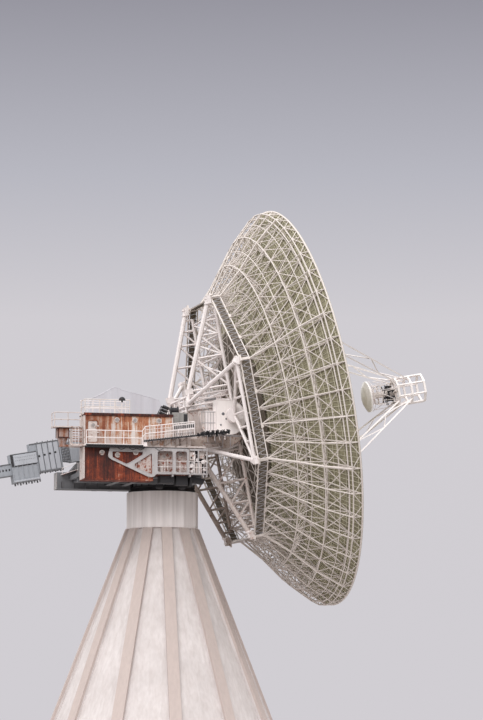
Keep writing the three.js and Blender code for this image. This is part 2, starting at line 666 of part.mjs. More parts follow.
function supportRing() {
  const pieces = [];
  for (const ahead of [RING_BACK, RING_FRONT]) {
    pieces.push(turnedAboutDish(rectangleProfile(RING_RADIUS, ahead, RING_CHORD, RING_CHORD),
      RING_SIDES, RING_PHASE));
  }
  const flat = RING_RADIUS * Math.cos(Math.PI / RING_SIDES);
  for (let i = 0; i < RING_SIDES; i += 1) {
    const corner = RING_PHASE + (i * 2 * Math.PI) / RING_SIDES;
    const middle = corner + Math.PI / RING_SIDES;
    const next = corner + (2 * Math.PI) / RING_SIDES;
    const cornerBack = dishPoint(RING_RADIUS, RING_BACK, corner);
    const cornerFront = dishPoint(RING_RADIUS, RING_FRONT, corner);
    const middleBack = dishPoint(flat, RING_BACK, middle);
    const middleFront = dishPoint(flat, RING_FRONT, middle);
    pieces.push(bar(middleBack, middleFront, BRACE_BAR));
    pieces.push(bar(cornerBack, middleFront, BRACE_BAR));
    pieces.push(bar(middleFront, dishPoint(RING_RADIUS, RING_BACK, next), BRACE_BAR));
    pieces.push(bar(cornerBack, cornerFront, BRACE_BAR));
    const head = new THREE.BoxGeometry(RING_HEAD_DEPTH, 0.55 * METRE, METRE);
    head.translate(RING_HEAD_BACK + RING_HEAD_DEPTH / 2, 0, 0);
    head.rotateX(-corner);
    const centre = dishPoint(RING_RADIUS, 0, corner);
    pieces.push(head.translate(0, centre.y, centre.z));
  }
  return join(pieces);
}

// Cradle: two side plates, the counterweight between them, two cross beams and the elevation shaft
function cradle() {
  const back = CRADLE_BACK;
  const front = CRADLE_FRONT;
  const high = CRADLE_HALF_HEIGHT;
  const pieces = [];
  for (const side of [NEAR, FAR]) {
    const outline = [[back, -high], [front, -high], [front, high], [back, high]];
    const holes = [
      [[-1.2, 0.75], [0.3, 1.0], [0.3, 1.8], [-1.2, 1.8]],
      [[-1.2, -1.8], [0.3, -1.8], [0.3, -1.0], [-1.2, -0.75]],
    ].map((hole) => hole.map(([x, z]) => [x * METRE, z * METRE]));
    pieces.push(sidePlate(outline, holes, side * (CRADLE_HALF_WIDTH - CRADLE_PLATE), side * CRADLE_HALF_WIDTH));
  }
  const width = CRADLE_HALF_WIDTH - CRADLE_PLATE / 2;
  pieces.push(box(back + 0.1 * METRE, -1.6 * METRE, -width, width, -1.7 * METRE, 1.7 * METRE));
  for (const end of [-1, 1]) {
    pieces.push(box(front - 0.4 * METRE, front, -width, width, end * 1.85 * METRE, end * 2.25 * METRE));
  }
  const seat = 1.2 * METRE;
  pieces.push(box(0, front, -seat, seat, -seat, seat));
  const shoulder = CRADLE_HALF_WIDTH + 0.2 * METRE;
  pieces.push(bar(new THREE.Vector3(0, -shoulder, 0), new THREE.Vector3(0, shoulder, 0), 1.3 * METRE, 16));
  pieces.push(bar(new THREE.Vector3(0, -TRUNNION_REACH, 0), new THREE.Vector3(0, TRUNNION_REACH, 0),
    2 * TRUNNION_RADIUS, 24));
  return join(pieces);
}

// Upper or lower half of the frame on one side: raking main tube, upright post and the bracing between them
function triangleFrame(side, level) {
  const blockFront = RING_HEAD_BACK - SEAT_GAP;
  const seat = CRADLE_HALF_HEIGHT + SEAT_GAP;
  const [headX, headY, headZ] = FRAME_HEAD;
  const [rearX, rearY, rearZ] = FRAME_REAR;
  const head = point(headX, side * headY, level * headZ);
  const rear = point(rearX, side * rearY, level * rearZ);
  const onTube = (share) => head.clone().lerp(rear, share);
  const onPost = (share) => new THREE.Vector3(POST_AHEAD, side * headY * METRE, onTube(share).z);
  const shares = [0.09, 0.22, 0.385, 0.64, 1];
  const pieces = [
    box(0, blockFront, side * 3.62 * METRE, side * 4.26 * METRE, level * 9.1 * METRE, level * 9.75 * METRE),
    sideBox(side, -2.9 * METRE, -2.25 * METRE, 3.16 * METRE, 3.5 * METRE, level * seat, level * 2.75 * METRE),
    bar(head, rear, MAIN_TUBE, 8),
    bar(onPost(shares[0]), new THREE.Vector3(POST_AHEAD, side * headY * METRE, level * SEAT_GAP), POST_TUBE, 6),
  ];
  for (const share of shares) pieces.push(bar(onTube(share), onPost(share), BRACE_BAR));
  for (let i = 2; i < shares.length; i += 1) {
    pieces.push(bar(onTube(shares[i - 1]), onPost(shares[i]), BRACE_BAR));
  }
  return join(pieces);
}

// Crossed bars between the upright posts of the near and the far frame
function crossBracing(level, stations) {
  const drop = FRAME_HEAD[2] - FRAME_REAR[2];
  const at = (side, share) => new THREE.Vector3(POST_AHEAD, side * FRAME_HEAD[1] * METRE,
    level * (FRAME_HEAD[2] - share * drop) * METRE);
  const upright = new THREE.Vector3(0, 0, 1);
  // How far a bar stops short of the line of the post that it meets
  const setBack = (along) => {
    const slope = along.angleTo(upright);
    return (POST_TUBE / 2 + SEAT_GAP + 0.45 * BRACE_BAR * Math.abs(Math.cos(slope))) / Math.sin(slope);
  };
  const brace = (nearShare, farShare) => {
    const from = at(NEAR, nearShare);
    const to = at(FAR, farShare);
    const along = to.clone().sub(from).normalize();
    return bar(from.addScaledVector(along, setBack(along)), to.addScaledVector(along, -setBack(along)), BRACE_BAR);
  };
  const pieces = stations.map((share) => brace(share, share));
  for (let i = 1; i < stations.length; i += 1) {
    pieces.push(brace(stations[i - 1], stations[i]));
    pieces.push(brace(stations[i], stations[i - 1]));
  }
  return join(pieces);
}

function sideFrame(side) {
  const blockTop = RING_HEAD_BACK - SEAT_GAP;
  const hub = point(0, side * 6.3, 0);
  const pieces = [];
  const collar = new THREE.CylinderGeometry(0.62 * METRE, 0.62 * METRE, 0.5 * METRE, 16);
  collar.translate(0, side * (TRUNNION_REACH + SEAT_GAP + 0.25 * METRE), 0);
  pieces.push(collar);
  for (const level of [-1, 1]) {
    const corner = point(0.1, side * 9.45, level * 3.9);
    const ringBlock = box(0, blockTop, side * 9.15 * METRE, side * 9.75 * METRE,
      level * 3.6 * METRE, level * 4.2 * METRE);
    const seat = CRADLE_HALF_WIDTH + SEAT_GAP;
    const [endX, endZ] = level > 0 ? [-2.85, 1.6] : [-2.45, -2.05];
    const cradleEnd = point(endX, side * 3.72, endZ);
    const cradleBlock = sideBox(side, (endX - 0.25) * METRE, (endX + 0.25) * METRE, seat, 3.86 * METRE,
      (endZ - 0.25) * METRE, (endZ + 0.25) * METRE);
    pieces.push(ringBlock, cradleBlock);
    pieces.push(bar(corner, cradleEnd, 0.9 * MAIN_TUBE, 8));
    pieces.push(bar(hub, corner, POST_TUBE, 6));
  }
  const low = point(0.1, side * 9.45, -3.9);
  const high = point(0.1, side * 9.45, 3.9);
  pieces.push(bar(low, high, POST_TUBE, 6));
  for (const share of [-0.6, -0.3, 0, 0.3, 0.6]) {
    const onChord = point(0.1, side * 9.45, 3.9 * share);
    const reach = Math.max(Math.abs(share), 0.08);
    const onStrut = point(0.1 * reach, side * (6.3 + 3.15 * reach), 3.9 * share);
    pieces.push(bar(onChord, onStrut, BRACE_BAR));
  }
  return join(pieces);
}

// Four laced legs that meet in the apex cage
function quadrupod() {
  const pieces = [];
  const cageRings = [CAGE_BACK, (CAGE_BACK + CAGE_FRONT) / 2, CAGE_FRONT];
  const cageSides = 8;
  for (const ahead of cageRings) {
    pieces.push(turnedAboutDish(rectangleProfile(CAGE_RADIUS, ahead, LEG_CHORD, LEG_CHORD), cageSides,
      Math.PI / cageSides));
  }
  for (let i = 0; i < cageSides; i += 1) {
    const angle = Math.PI / cageSides + (i * 2 * Math.PI) / cageSides;
    pieces.push(bar(dishPoint(CAGE_RADIUS, CAGE_BACK, angle), dishPoint(CAGE_RADIUS, CAGE_FRONT, angle), LEG_CHORD));
  }
  const flat = CAGE_RADIUS * Math.cos(Math.PI / cageSides);
  const half = LEG_CHORD / 2;
  pieces.push(box(CAGE_BACK - half, CAGE_BACK + half, -flat, flat, -half, half));
  pieces.push(box(CAGE_BACK - half, CAGE_BACK + half, -half, half, -flat, flat));
  for (let leg = 0; leg < 4; leg += 1) {
    const angle = Math.PI / 4 + (leg * Math.PI) / 2;
    const footSeat = (radius) => surfaceAhead(radius) + 0.132 * METRE;
    const innerFoot = dishPoint(LEG_FOOT_RADIUS, footSeat(LEG_FOOT_RADIUS), angle);
    const outerRadius = LEG_FOOT_RADIUS + LEG_DEPTH;
    const outerFoot = dishPoint(outerRadius, footSeat(outerRadius), angle);
    const innerHead = dishPoint(flat, CAGE_BACK, angle);
    const outerHead = dishPoint(flat, cageRings[1], angle);
    pieces.push(bar(innerFoot, innerHead, LEG_CHORD));
    pieces.push(bar(outerFoot, outerHead, LEG_CHORD));
    pieces.push(bar(innerFoot, outerFoot, LEG_CHORD));
    pieces.push(...lacing(innerFoot, innerHead, outerFoot, outerHead, 7, LEG_LACING));
  }
  return join(pieces);
}

function secondaryMirror() {
  return turnedAboutDish([
    [0, SECONDARY_BACK - 0.66 * METRE],
    [0.4 * METRE, SECONDARY_BACK - 0.63 * METRE],
    [0.85 * METRE, SECONDARY_BACK - 0.5 * METRE],
    [SECONDARY_RADIUS, SECONDARY_BACK - 0.28 * METRE],
    [SECONDARY_RADIUS, SECONDARY_BACK - 0.16 * METRE],
    [0.7 * METRE, SECONDARY_BACK],
    [0, SECONDARY_BACK],
  ], 32);
}

// Positioner between the mirror's back and the cage
function focusMechanism() {
  const start = SECONDARY_BACK + SEAT_GAP;
  const end = CAGE_BACK - LEG_CHORD / 2 - SEAT_GAP;
  const core = turnedAboutDish([
    [0, start],
    [0.55 * METRE, start],
    [0.55 * METRE, start + 0.9 * METRE],
    [0.3 * METRE, start + 1.0 * METRE],
    [0.3 * METRE, end],
    [0, end],
  ], 12);
  const plate = turnedAboutDish([
    [0, end - 0.1 * METRE],
    [0.85 * METRE, end - 0.1 * METRE],
    [0.85 * METRE, end],
    [0, end],
  ], 16);
  const pieces = [core, plate];
  for (let i = 0; i < 4; i += 1) {
    const angle = Math.PI / 4 + (i * Math.PI) / 2;
    pieces.push(bar(dishPoint(0.45 * METRE, start + 0.4 * METRE, angle),
      dishPoint(0.78 * METRE, end - 0.06 * METRE, angle), BRACE_BAR / 2));
  }
  return join(pieces);
}

// Cone at the centre of the dish that holds the receivers
function feedCone() {
  return turnedAboutDish([
    [0, HUB_BACK],
    [CENTRE_HOLE_RADIUS - 0.02 * METRE, HUB_BACK],
    [CENTRE_HOLE_RADIUS - 0.02 * METRE, 1.7 * METRE],
    [0.95 * METRE, 4.4 * METRE],
    [0.95 * METRE, 4.9 * METRE],
    [0, 4.9 * METRE],
  ], 24);
}

// Finishes

function finish(color, roughness, metalness) {
  return new THREE.MeshStandardMaterial({ color, roughness, metalness });
}

const CONCRETE = finish(0xd9d0cb, 0.9, 0);
const DARK_STEEL = finish(0x6b6768, 0.65, 0.1);
const RUSTY_PAINT = finish(0xaf7a62, 0.8, 0);
const DARK_RUST = finish(0x8c5a4c, 0.85, 0);
const GREY_PAINT = finish(0xaba5a8, 0.6, 0);
const WHITE_PAINT = finish(0xe2dada, 0.5, 0);
const OLIVE_ALUMINIUM = finish(0x9a967f, 0.55, 0.2);

function add(group, name, geometry, material) {
  const mesh = new THREE.Mesh(geometry, material);
  mesh.name = name;
  group.add(mesh);
}

const antenna = new THREE.Group();

add(antenna, 'tower_flare', towerFlare(), CONCRETE);
add(antenna, 'tower_drum', towerDrum(), CONCRETE);

const platform = new THREE.Group();
antenna.add(platform);
add(platform, 'turntable', turntable(), DARK_STEEL);
add(platform, 'platform_frame', platformFrame(), DARK_STEEL);
for (const [side, label] of [[NEAR, 'near'], [FAR, 'far']]) {
  add(platform, `cabin_lower_${label}`, cabinLower(side, label), DARK_RUST);
  add(platform, `cabin_floor_${label}`, cabinFloor(side, label), GREY_PAINT);
  add(platform, `cabin_upper_${label}`, cabinUpper(side, label), RUSTY_PAINT);
  add(platform, `cabin_roof_${label}`, cabinRoof(side, label), GREY_PAINT);
  add(platform, `web_frame_${label}`, webFrame(side), GREY_PAINT);
  add(platform, `gangway_${label}`, gangway(side, label), WHITE_PAINT);
  add(platform, `bearing_arm_${label}`, bearingArm(side), GREY_PAINT);
  add(platform, `bearing_housing_${label}`, bearingHousing(side), WHITE_PAINT);
  add(platform, `drive_cabinet_${label}`, driveCabinet(side), WHITE_PAINT);
}
add(platform, 'rear_balcony', rearBalcony(), WHITE_PAINT);
add(platform, 'roof_hood', roofHood(), GREY_PAINT);
add(platform, 'louvre_box', louvreBox(), GREY_PAINT);
add(platform, 'tail_pedestal', tailPedestal(), DARK_STEEL);

const tail = new THREE.Group();
tail.position.set(TAIL_ROOT_X, 0, TAIL_ROOT_Z);
tail.rotation.y = -TAIL_SLOPE;
platform.add(tail);
add(tail, 'tail_root', tailRoot(), GREY_PAINT);
add(tail, 'tail_box_inner', tailInnerBox(), GREY_PAINT);
add(tail, 'tail_box_outer', tailOuterBox(), WHITE_PAINT);
add(tail, 'tail_beam', tailBeam(), GREY_PAINT);
add(platform, 'rear_cabin', rearCabin(), RUSTY_PAINT);

const dish = new THREE.Group();
dish.position.set(AXIS_X, 0, AXIS_Z);
dish.rotation.y = -REST_ELEVATION;
platform.add(dish);
add(dish, 'cradle', cradle(), WHITE_PAINT);
add(dish, 'support_ring', supportRing(), WHITE_PAINT);
for (const [level, height] of [[1, 'top'], [-1, 'bottom']]) {
  add(dish, `${height}_frame_near`, triangleFrame(NEAR, level), WHITE_PAINT);
  add(dish, `${height}_frame_far`, triangleFrame(FAR, level), WHITE_PAINT);
  add(dish, `${height}_bracing`, crossBracing(level, BRACED_SHARES[height]), WHITE_PAINT);
}
add(dish, 'side_frame_near', sideFrame(NEAR), WHITE_PAINT);
add(dish, 'side_frame_far', sideFrame(FAR), WHITE_PAINT);
add(dish, 'reflector', reflector(), OLIVE_ALUMINIUM);
add(dish, 'inner_trusses_upper', innerTrusses(true), WHITE_PAINT);
add(dish, 'inner_trusses_lower', innerTrusses(false), WHITE_PAINT);
add(dish, 'outer_trusses', outerTrusses(), WHITE_PAINT);
add(dish, 'rim_ring', rimRing(), WHITE_PAINT);
add(dish, 'quadrupod', quadrupod(), WHITE_PAINT);
add(dish, 'secondary_mirror', secondaryMirror(), WHITE_PAINT);
add(dish, 'focus_mechanism', focusMechanism(), DARK_STEEL);
add(dish, 'feed_cone', feedCone(), WHITE_PAINT);

export default antenna;
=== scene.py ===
"""Looks of a large dish antenna, a 1:10 scale model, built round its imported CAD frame.

Sizes are the real ones in metres. Three frames of reference turn them into model metres:
GROUND for the tower and the platform, TAIL for the sloping tail, and DISH for the dish at rest,
with x ahead along the dish's axis, y across and z up.
"""
import json
import math
import random

import bmesh
import bpy
from mathutils import Matrix, Vector


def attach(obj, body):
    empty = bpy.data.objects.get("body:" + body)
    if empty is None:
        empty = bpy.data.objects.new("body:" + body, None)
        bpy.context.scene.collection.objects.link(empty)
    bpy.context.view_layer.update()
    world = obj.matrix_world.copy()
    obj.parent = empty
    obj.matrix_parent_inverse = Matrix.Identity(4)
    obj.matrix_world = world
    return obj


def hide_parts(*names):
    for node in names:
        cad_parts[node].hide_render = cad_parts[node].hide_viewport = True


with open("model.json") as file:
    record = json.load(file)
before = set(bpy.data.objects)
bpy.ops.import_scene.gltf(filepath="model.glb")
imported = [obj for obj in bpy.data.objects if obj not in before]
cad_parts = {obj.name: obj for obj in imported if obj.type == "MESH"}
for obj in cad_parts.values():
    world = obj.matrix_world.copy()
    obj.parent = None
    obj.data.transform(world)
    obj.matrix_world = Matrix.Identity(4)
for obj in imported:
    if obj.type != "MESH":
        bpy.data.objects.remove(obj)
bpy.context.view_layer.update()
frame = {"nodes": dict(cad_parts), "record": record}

SCALE = 0.1
AHEAD = (1, 0, 0)
UP = (0, 0, 1)
NEAR = -1
FAR = 1
SIDES = (NEAR, FAR)
REST_ELEVATION = math.radians(10.6)
TAIL_SLOPE = math.radians(10)
AXIS_X = 4.35
AXIS_Z = 30.75
TAIL_ROOT = (-6.85, 0, 28.1)
GROUND = Matrix.Scale(SCALE, 4)
DISH = GROUND @ Matrix.Translation((AXIS_X, 0, AXIS_Z)) @ Matrix.Rotation(-REST_ELEVATION, 4, "Y")
TAIL = GROUND @ Matrix.Translation(TAIL_ROOT) @ Matrix.Rotation(-TAIL_SLOPE, 4, "Y")

# Dish: bars, rings and hoops, with (radius, place along the axis) pairs
RADIALS = 48
FOCAL_LENGTH = 11.43
VERTEX_AHEAD = 1.4
RING_RADIUS = 10.3
RING_BACK = 0.42
RING_FRONT = 1.17
HUB_CHORD = (2.15, 0.95)
HOOPS = {"b": (12.18, 2.95), "c": (14.2, 4.5), "d": (15.83, 6.2)}
RIM = (15.9, 6.9)
TRUSS_BAR = 0.07
CHORD_BAR = 0.11
RIM_BAR = 0.15

# The cabins' cladding is redder towards the back, between these places along the platform
REDDER_FROM = -7.2
REDDER_TO = -4.2

# Where the tower's ribs stand out of its cone and where its drum begins, in model metres; the drum's concrete
# is painted paler, as painted light
CONE_SLOPE = 0.39
RIB_FROM = 1.132
DRUM_FROM = 2.212

# Camera fitted to the photograph, in model metres, and the light
PHOTO_HEIGHT_PX = 720
FOCAL_LENGTH_PX = 3754.9
SENSOR_MM = 36
CAMERA_PLACE = (-6.4147, -28.9332, 0.1696)
CAMERA_YAW = math.radians(13.711)
CAMERA_PITCH = math.radians(6.532)
CAMERA_REACH = 200
FLOOR_HALF = 5
FLOOR_LEVEL = -0.002
DOME_POWER = 1.5
SUN_POWER = 1.5
SUN_SPREAD = math.radians(40)
SUN_AIM = (0.45, 0.75, -0.75)


def colour(hexed, alpha=1.0):
    """The linear colour of an sRGB hex value such as #d9cfce."""
    channels = [int(hexed[i:i + 2], 16) / 255 for i in (1, 3, 5)]
    linear = [c / 12.92 if c <= 0.04045 else ((c + 0.055) / 1.055) ** 2.4 for c in channels]
    return (*linear, alpha)


def add_node(tree, kind, sockets=None, **settings):
    """Adds a node with its settings; each socket gets a value, or a link from another node's output."""
    node = tree.nodes.new(kind)
    for key, value in settings.items():
        setattr(node, key, value)
    for key, value in (sockets or {}).items():
        if isinstance(value, bpy.types.NodeSocket):
            tree.links.new(value, node.inputs[key])
        else:
            node.inputs[key].default_value = value
    return node


def per_metre(real_mm):
    """How often a pattern of this real size in millimetres repeats in one model metre."""
    return 1000 / (real_mm * SCALE)


def new_finish(name, roughness, metallic=0.0, **sockets):
    """A material with its surface shader and the object coordinates that its patterns read."""
    finish = bpy.data.materials.new(name)
    finish.use_nodes = True
    tree = finish.node_tree
    tree.nodes.clear()
    surface = add_node(tree, "ShaderNodeBsdfPrincipled",
                       {"Roughness": roughness, "Metallic": metallic, **sockets})
    out = add_node(tree, "ShaderNodeOutputMaterial")
    tree.links.new(surface.outputs["BSDF"], out.inputs["Surface"])
    place = add_node(tree, "ShaderNodeTexCoord").outputs["Object"]
    return finish, tree, surface, place


def mixed(tree, share, first, second):
    return add_node(tree, "ShaderNodeMix", {0: share, 6: first, 7: second}, data_type="RGBA").outputs[2]


def times(tree, mask, share):
    return add_node(tree, "ShaderNodeMath", {0: mask, 1: share}, operation="MULTIPLY").outputs[0]


def remap(tree, value, low=0.0, high=1.0, to_low=0.0, to_high=1.0):
    """Stretches the range from low to high over the one from to_low to to_high."""
    return add_node(tree, "ShaderNodeMapRange", {
        "Value": value, "From Min": low, "From Max": high, "To Min": to_low, "To Max": to_high}).outputs[0]


def set_bands(ramp, stops):
    """Gives a colour ramp its (position, colour) stops, in order."""
    bands = ramp.color_ramp.elements
    bands[0].position, bands[0].color = stops[0]
    bands[1].position, bands[1].color = stops[-1]
    for position, shade in stops[1:-1]:
        bands.new(position).color = shade


def cloud(tree, place, real_mm, low, high, detail=5.0, stretch=(1, 1, 1), roughness=0.55):
    """A mask from 0 to 1 in patches of a real size, drawn out along the axes with a small stretch."""
    drawn = add_node(tree, "ShaderNodeMapping", {"Vector": place, "Scale": stretch}).outputs[0]
    noise = add_node(tree, "ShaderNodeTexNoise", {
        "Vector": drawn, "Scale": per_metre(real_mm), "Detail": detail, "Roughness": roughness})
    return remap(tree, noise.outputs[0], low, high)


def roughen(tree, surface, height, real_mm, strength=0.5):
    bump = add_node(tree, "ShaderNodeBump",
                    {"Height": height, "Strength": strength, "Distance": real_mm / 1000 * SCALE})
    tree.links.new(bump.outputs[0], surface.inputs["Normal"])


def weathered_paint(name, paint, dirt, rust, dirt_share=0.5, rust_from=0.62, roughness=0.5, streak_mm=140):
    """Brushed gloss paint on steel, gone chalky: dirt in runs down the sheet and rust where it has broken."""
    finish, tree, surface, place = new_finish(name, roughness)
    runs = cloud(tree, place, streak_mm, 0.42, 0.72, stretch=(1, 1, 0.12))
    stains = cloud(tree, place, 900, 0.35, 0.75)
    broken = cloud(tree, place, 260, rust_from, rust_from + 0.09, detail=9.0, roughness=0.68)
    grime = times(tree, times(tree, runs, stains), dirt_share)
    tinted = mixed(tree, grime, colour(paint), colour(dirt))
    tinted = mixed(tree, broken, tinted, colour(rust))
    tree.links.new(tinted, surface.inputs["Base Color"])
    tree.links.new(remap(tree, broken, to_low=roughness, to_high=0.9), surface.inputs["Roughness"])
    roughen(tree, surface, cloud(tree, place, 40, 0.3, 0.7), 3)
    return finish


def rusted_cladding(name, stops, head_m, foot_m, head_share, streak_mm=230, redder_back=0.0):
    """Sheet steel that has lost much of its paint: rust has run down it, thickest under the eaves; it darkens
    towards the head of the wall, which on the lower storey is also painted shadow under the deck.
    """
    finish, tree, surface, place = new_finish(name, 0.85)
    height = add_node(tree, "ShaderNodeSeparateXYZ", {0: place}).outputs[2]
    # Darker towards the head of the wall: rust runs, and on the lower storey also painted shadow under the
    # deck.
    eaves = remap(tree, height, foot_m * SCALE, head_m * SCALE, to_high=head_share)
    broad = cloud(tree, place, 2.6 * streak_mm, 0.3, 0.72, detail=2.0, stretch=(1, 1, 0.05))
    fine = cloud(tree, place, streak_mm / 1.6, 0.25, 0.75, detail=5.0, stretch=(1, 1, 0.07), roughness=0.65)
    blooms = cloud(tree, place, 800, 0.3, 0.72, detail=7.0, roughness=0.62)
    mottle = cloud(tree, place, 110, 0.25, 0.8, detail=4.0)
    runs = add_node(tree, "ShaderNodeMix", {0: 0.5, 2: broad, 3: fine}).outputs[0]
    both = add_node(tree, "ShaderNodeMix", {0: 0.3, 2: runs, 3: blooms}).outputs[0]
    both = add_node(tree, "ShaderNodeMix", {0: 0.12, 2: both, 3: mottle}).outputs[0]
    both = add_node(tree, "ShaderNodeMath", {0: both, 1: eaves}, operation="ADD").outputs[0]
    ramp = add_node(tree, "ShaderNodeValToRGB", {0: both})
    set_bands(ramp, [(position, colour(hexed)) for position, hexed in stops])
    along = add_node(tree, "ShaderNodeSeparateXYZ", {0: place}).outputs[0]
    back = remap(tree, along, REDDER_FROM * SCALE, REDDER_TO * SCALE, redder_back, 0.0)
    tint = add_node(tree, "ShaderNodeMix", {0: back, 6: ramp.outputs[0], 7: colour("#8f5548")},
                    data_type="RGBA", blend_type="MULTIPLY").outputs[2]
    tree.links.new(tint, surface.inputs["Base Color"])
    roughen(tree, surface, mottle, 8, 0.6)
    return finish


def board_marked_concrete():
    """Cast concrete, pale and matte, with the grain of its shutter boards, rain streaks and pinker ribs; its
    drum is painted paler as painted light, lifting the shade under the platform.
    """
    finish, tree, surface, place = new_finish("board_marked_concrete", 0.9)
    streaks = cloud(tree, place, 420, 0.4, 0.75, detail=6.0, stretch=(1, 1, 0.06))
    boards = cloud(tree, place, 190, 0.35, 0.7, detail=1.0, stretch=(1, 1, 0.02))
    patches = cloud(tree, place, 2600, 0.35, 0.7)
    pores = cloud(tree, place, 90, 0.3, 0.75, detail=3.0)
    split = add_node(tree, "ShaderNodeSeparateXYZ", {0: place})
    flat = add_node(tree, "ShaderNodeCombineXYZ", {0: split.outputs[0], 1: split.outputs[1]}).outputs[0]
    radius = add_node(tree, "ShaderNodeVectorMath", {0: flat}, operation="LENGTH").outputs["Value"]
    cone = add_node(tree, "ShaderNodeMath", {0: split.outputs[2], 1: CONE_SLOPE, 2: radius},
                    operation="MULTIPLY_ADD").outputs[0]
    rib = remap(tree, cone, RIB_FROM, RIB_FROM + 0.005)
    # The drum is painted paler from DRUM_FROM up: painted light against the shade of the platform above it.
    drum = remap(tree, split.outputs[2], DRUM_FROM, DRUM_FROM + 0.004)
    base = mixed(tree, patches, colour("#cfc7c5"), colour("#c3bbb9"))
    base = mixed(tree, rib, base, colour("#b8a9a3"))
    base = mixed(tree, drum, base, colour("#f1e9e7"))
    base = mixed(tree, times(tree, streaks, 0.35), base, colour("#aa9d98"))
    base = mixed(tree, times(tree, boards, 0.16), base, colour("#968a85"))
    tree.links.new(base, surface.inputs["Base Color"])
    roughen(tree, surface, pores, 6, 0.5)
    return finish


def dull_aluminium():
    """Rolled aluminium sheet, never painted: an olive-grey bloom with dark water marks and little gloss."""
    finish, tree, surface, place = new_finish("dull_rolled_aluminium", 0.65, 0.15)
    marks = cloud(tree, place, 1400, 0.35, 0.75, detail=6.0)
    spots = cloud(tree, place, 160, 0.45, 0.75)
    base = mixed(tree, marks, colour("#989278"), colour("#7b745f"))
    base = mixed(tree, times(tree, spots, 0.4), base, colour("#aba58b"))
    tree.links.new(base, surface.inputs["Base Color"])
    roughen(tree, surface, spots, 1.5, 0.3)
    return finish


def porthole_glass():
    """Thick glass, blind with years of dust, so that it looks pale by day and darker where it was wiped."""
    finish, tree, surface, place = new_finish("dusty_porthole_glass", 0.3)
    dust = cloud(tree, place, 120, 0.35, 0.7)
    tree.links.new(mixed(tree, dust, colour("#7d7674"), colour("#b3aaa7")), surface.inputs["Base Color"])
    return finish


def galvanised_sheet():
    """Zinc-coated sheet gone flat and blue-grey outdoors, in upright strips with paler water runs."""
    finish, tree, surface, place = new_finish("weathered_galvanised_sheet", 0.6, 0.1)
    strips = cloud(tree, place, 520, 0.4, 0.6, detail=0.0, stretch=(1, 0.1, 0.02))
    runs = cloud(tree, place, 160, 0.35, 0.75, stretch=(1, 1, 0.08))
    base = mixed(tree, strips, colour("#d0ced4"), colour("#cbc8ce"))
    base = mixed(tree, times(tree, runs, 0.5), base, colour("#bfbdc3"))
    tree.links.new(base, surface.inputs["Base Color"])
    roughen(tree, surface, cloud(tree, place, 300, 0.3, 0.7), 12, 0.4)
    return finish


WHITE = weathered_paint("white_gloss_paint_on_steel", "#e6dddb", "#a99b95", "#95654f", rust_from=0.68)
# Paler white with little dirt for the secondary mirror: painted light against the shade on its back; its
# gloss is its own.
WHITE_MIRROR_PAINTED_LIGHT = weathered_paint("white_enamel_on_mirror_as_painted_light", "#f4eeeb", "#dcd4d0", "#b39a8b", 0.3, rust_from=0.78,
                         roughness=0.3)
# Paler white for the quadrupod and the bearing housings: painted light on parts that lie in shade.
PALE_WHITE_PAINTED_LIGHT = weathered_paint("pale_white_paint_as_painted_light", "#f1e9e6", "#cfc5c1", "#a98f80", 0.4, rust_from=0.74)
LATTICE = weathered_paint("white_paint_on_lattice_bars", "#d6ccc6", "#a89c92", "#8f735f", rust_from=0.7)
# Rust-stained white: real stains on doors, casings and strips; on the near bottom frame its darker tone is
# painted shade as well.
RUST_STAINED_WHITE_AND_SHADE = weathered_paint("white_paint_stained_by_rust_and_painted_shade", "#c9bdb8", "#9c8578", "#8c563e", 0.8, rust_from=0.56)
# Browner, darker white for the bearing arms, the far bottom frame, its bracing and the gangway stays: painted
# shade on parts that face down or lie behind others.
WHITE_PAINTED_SHADE = weathered_paint("white_paint_darkened_as_painted_shade", "#a3948b", "#6f5d52", "#6b4433", 0.9,
                          rust_from=0.54)
GREY = weathered_paint("grey_paint_on_steel", "#aba7aa", "#7f7a7c", "#83584a", rust_from=0.66, roughness=0.6)
TAIL_GREY = weathered_paint("blue_grey_paint_on_steel", "#979aa0", "#717277", "#75584d", rust_from=0.67,
                            roughness=0.6)
GEARBOX = weathered_paint("grey_green_paint_on_gearbox", "#93908d", "#686461", "#6b4d3c", 0.9, rust_from=0.6)
COVER = weathered_paint("pale_blue_grey_paint", "#adafb5", "#85868c", "#7d665a", 0.6, rust_from=0.68,
                        roughness=0.6)
BRACKET = weathered_paint("grey_paint_on_bracket_plate", "#aea9a9", "#857a75", "#744534", 0.7, rust_from=0.6)
LINING = weathered_paint("stained_pink_grey_paint", "#b9a9a3", "#917669", "#84452f", 0.8, rust_from=0.5)
DARK = weathered_paint("blue_black_paint_on_steel", "#6b6b6e", "#4a4a4d", "#6f5347", rust_from=0.62,
                       roughness=0.65)
BLACK = weathered_paint("black_bitumen_paint_on_steel", "#29272a", "#383330", "#4f3328", rust_from=0.64,
                        roughness=0.7)
# Dark brown for the sheets behind the middle panels, where it is painted shade, and for the support ring's
# web sheets.
SHADE = weathered_paint("dark_brown_on_inner_and_web_sheets", "#665c50", "#473d34", "#4e3527", 0.8, rust_from=0.6,
                        roughness=0.8)
PURLIN = weathered_paint("grey_green_primer_on_purlins", "#c0baa4", "#8d856b", "#83694f", rust_from=0.72,
                         roughness=0.6)
RUSTY = rusted_cladding("rusted_pale_cladding", [
    (0.4, "#d0c7c3"), (0.49, "#c5b3a9"), (0.57, "#b8957e"), (0.65, "#a76a4a"), (0.76, "#8b5038"),
    (0.9, "#56302a")],
    30.5, 28.5, 0.2, 130, 0.55)
# The lower storey: its darkest tones at the head of the wall, under the deck, are partly painted shadow.
DEEP_RUST = rusted_cladding("deeply_rusted_cladding", [
    (0.25, "#c6b1a5"), (0.31, "#94604a"), (0.4, "#84391f"), (0.53, "#582519"), (0.66, "#381813"),
    (0.84, "#1a1010")],
    28.1, 25.4, 0.16, 150)
CONCRETE = board_marked_concrete()
ALUMINIUM = dull_aluminium()
GLASS = porthole_glass()
GALVANISED = galvanised_sheet()

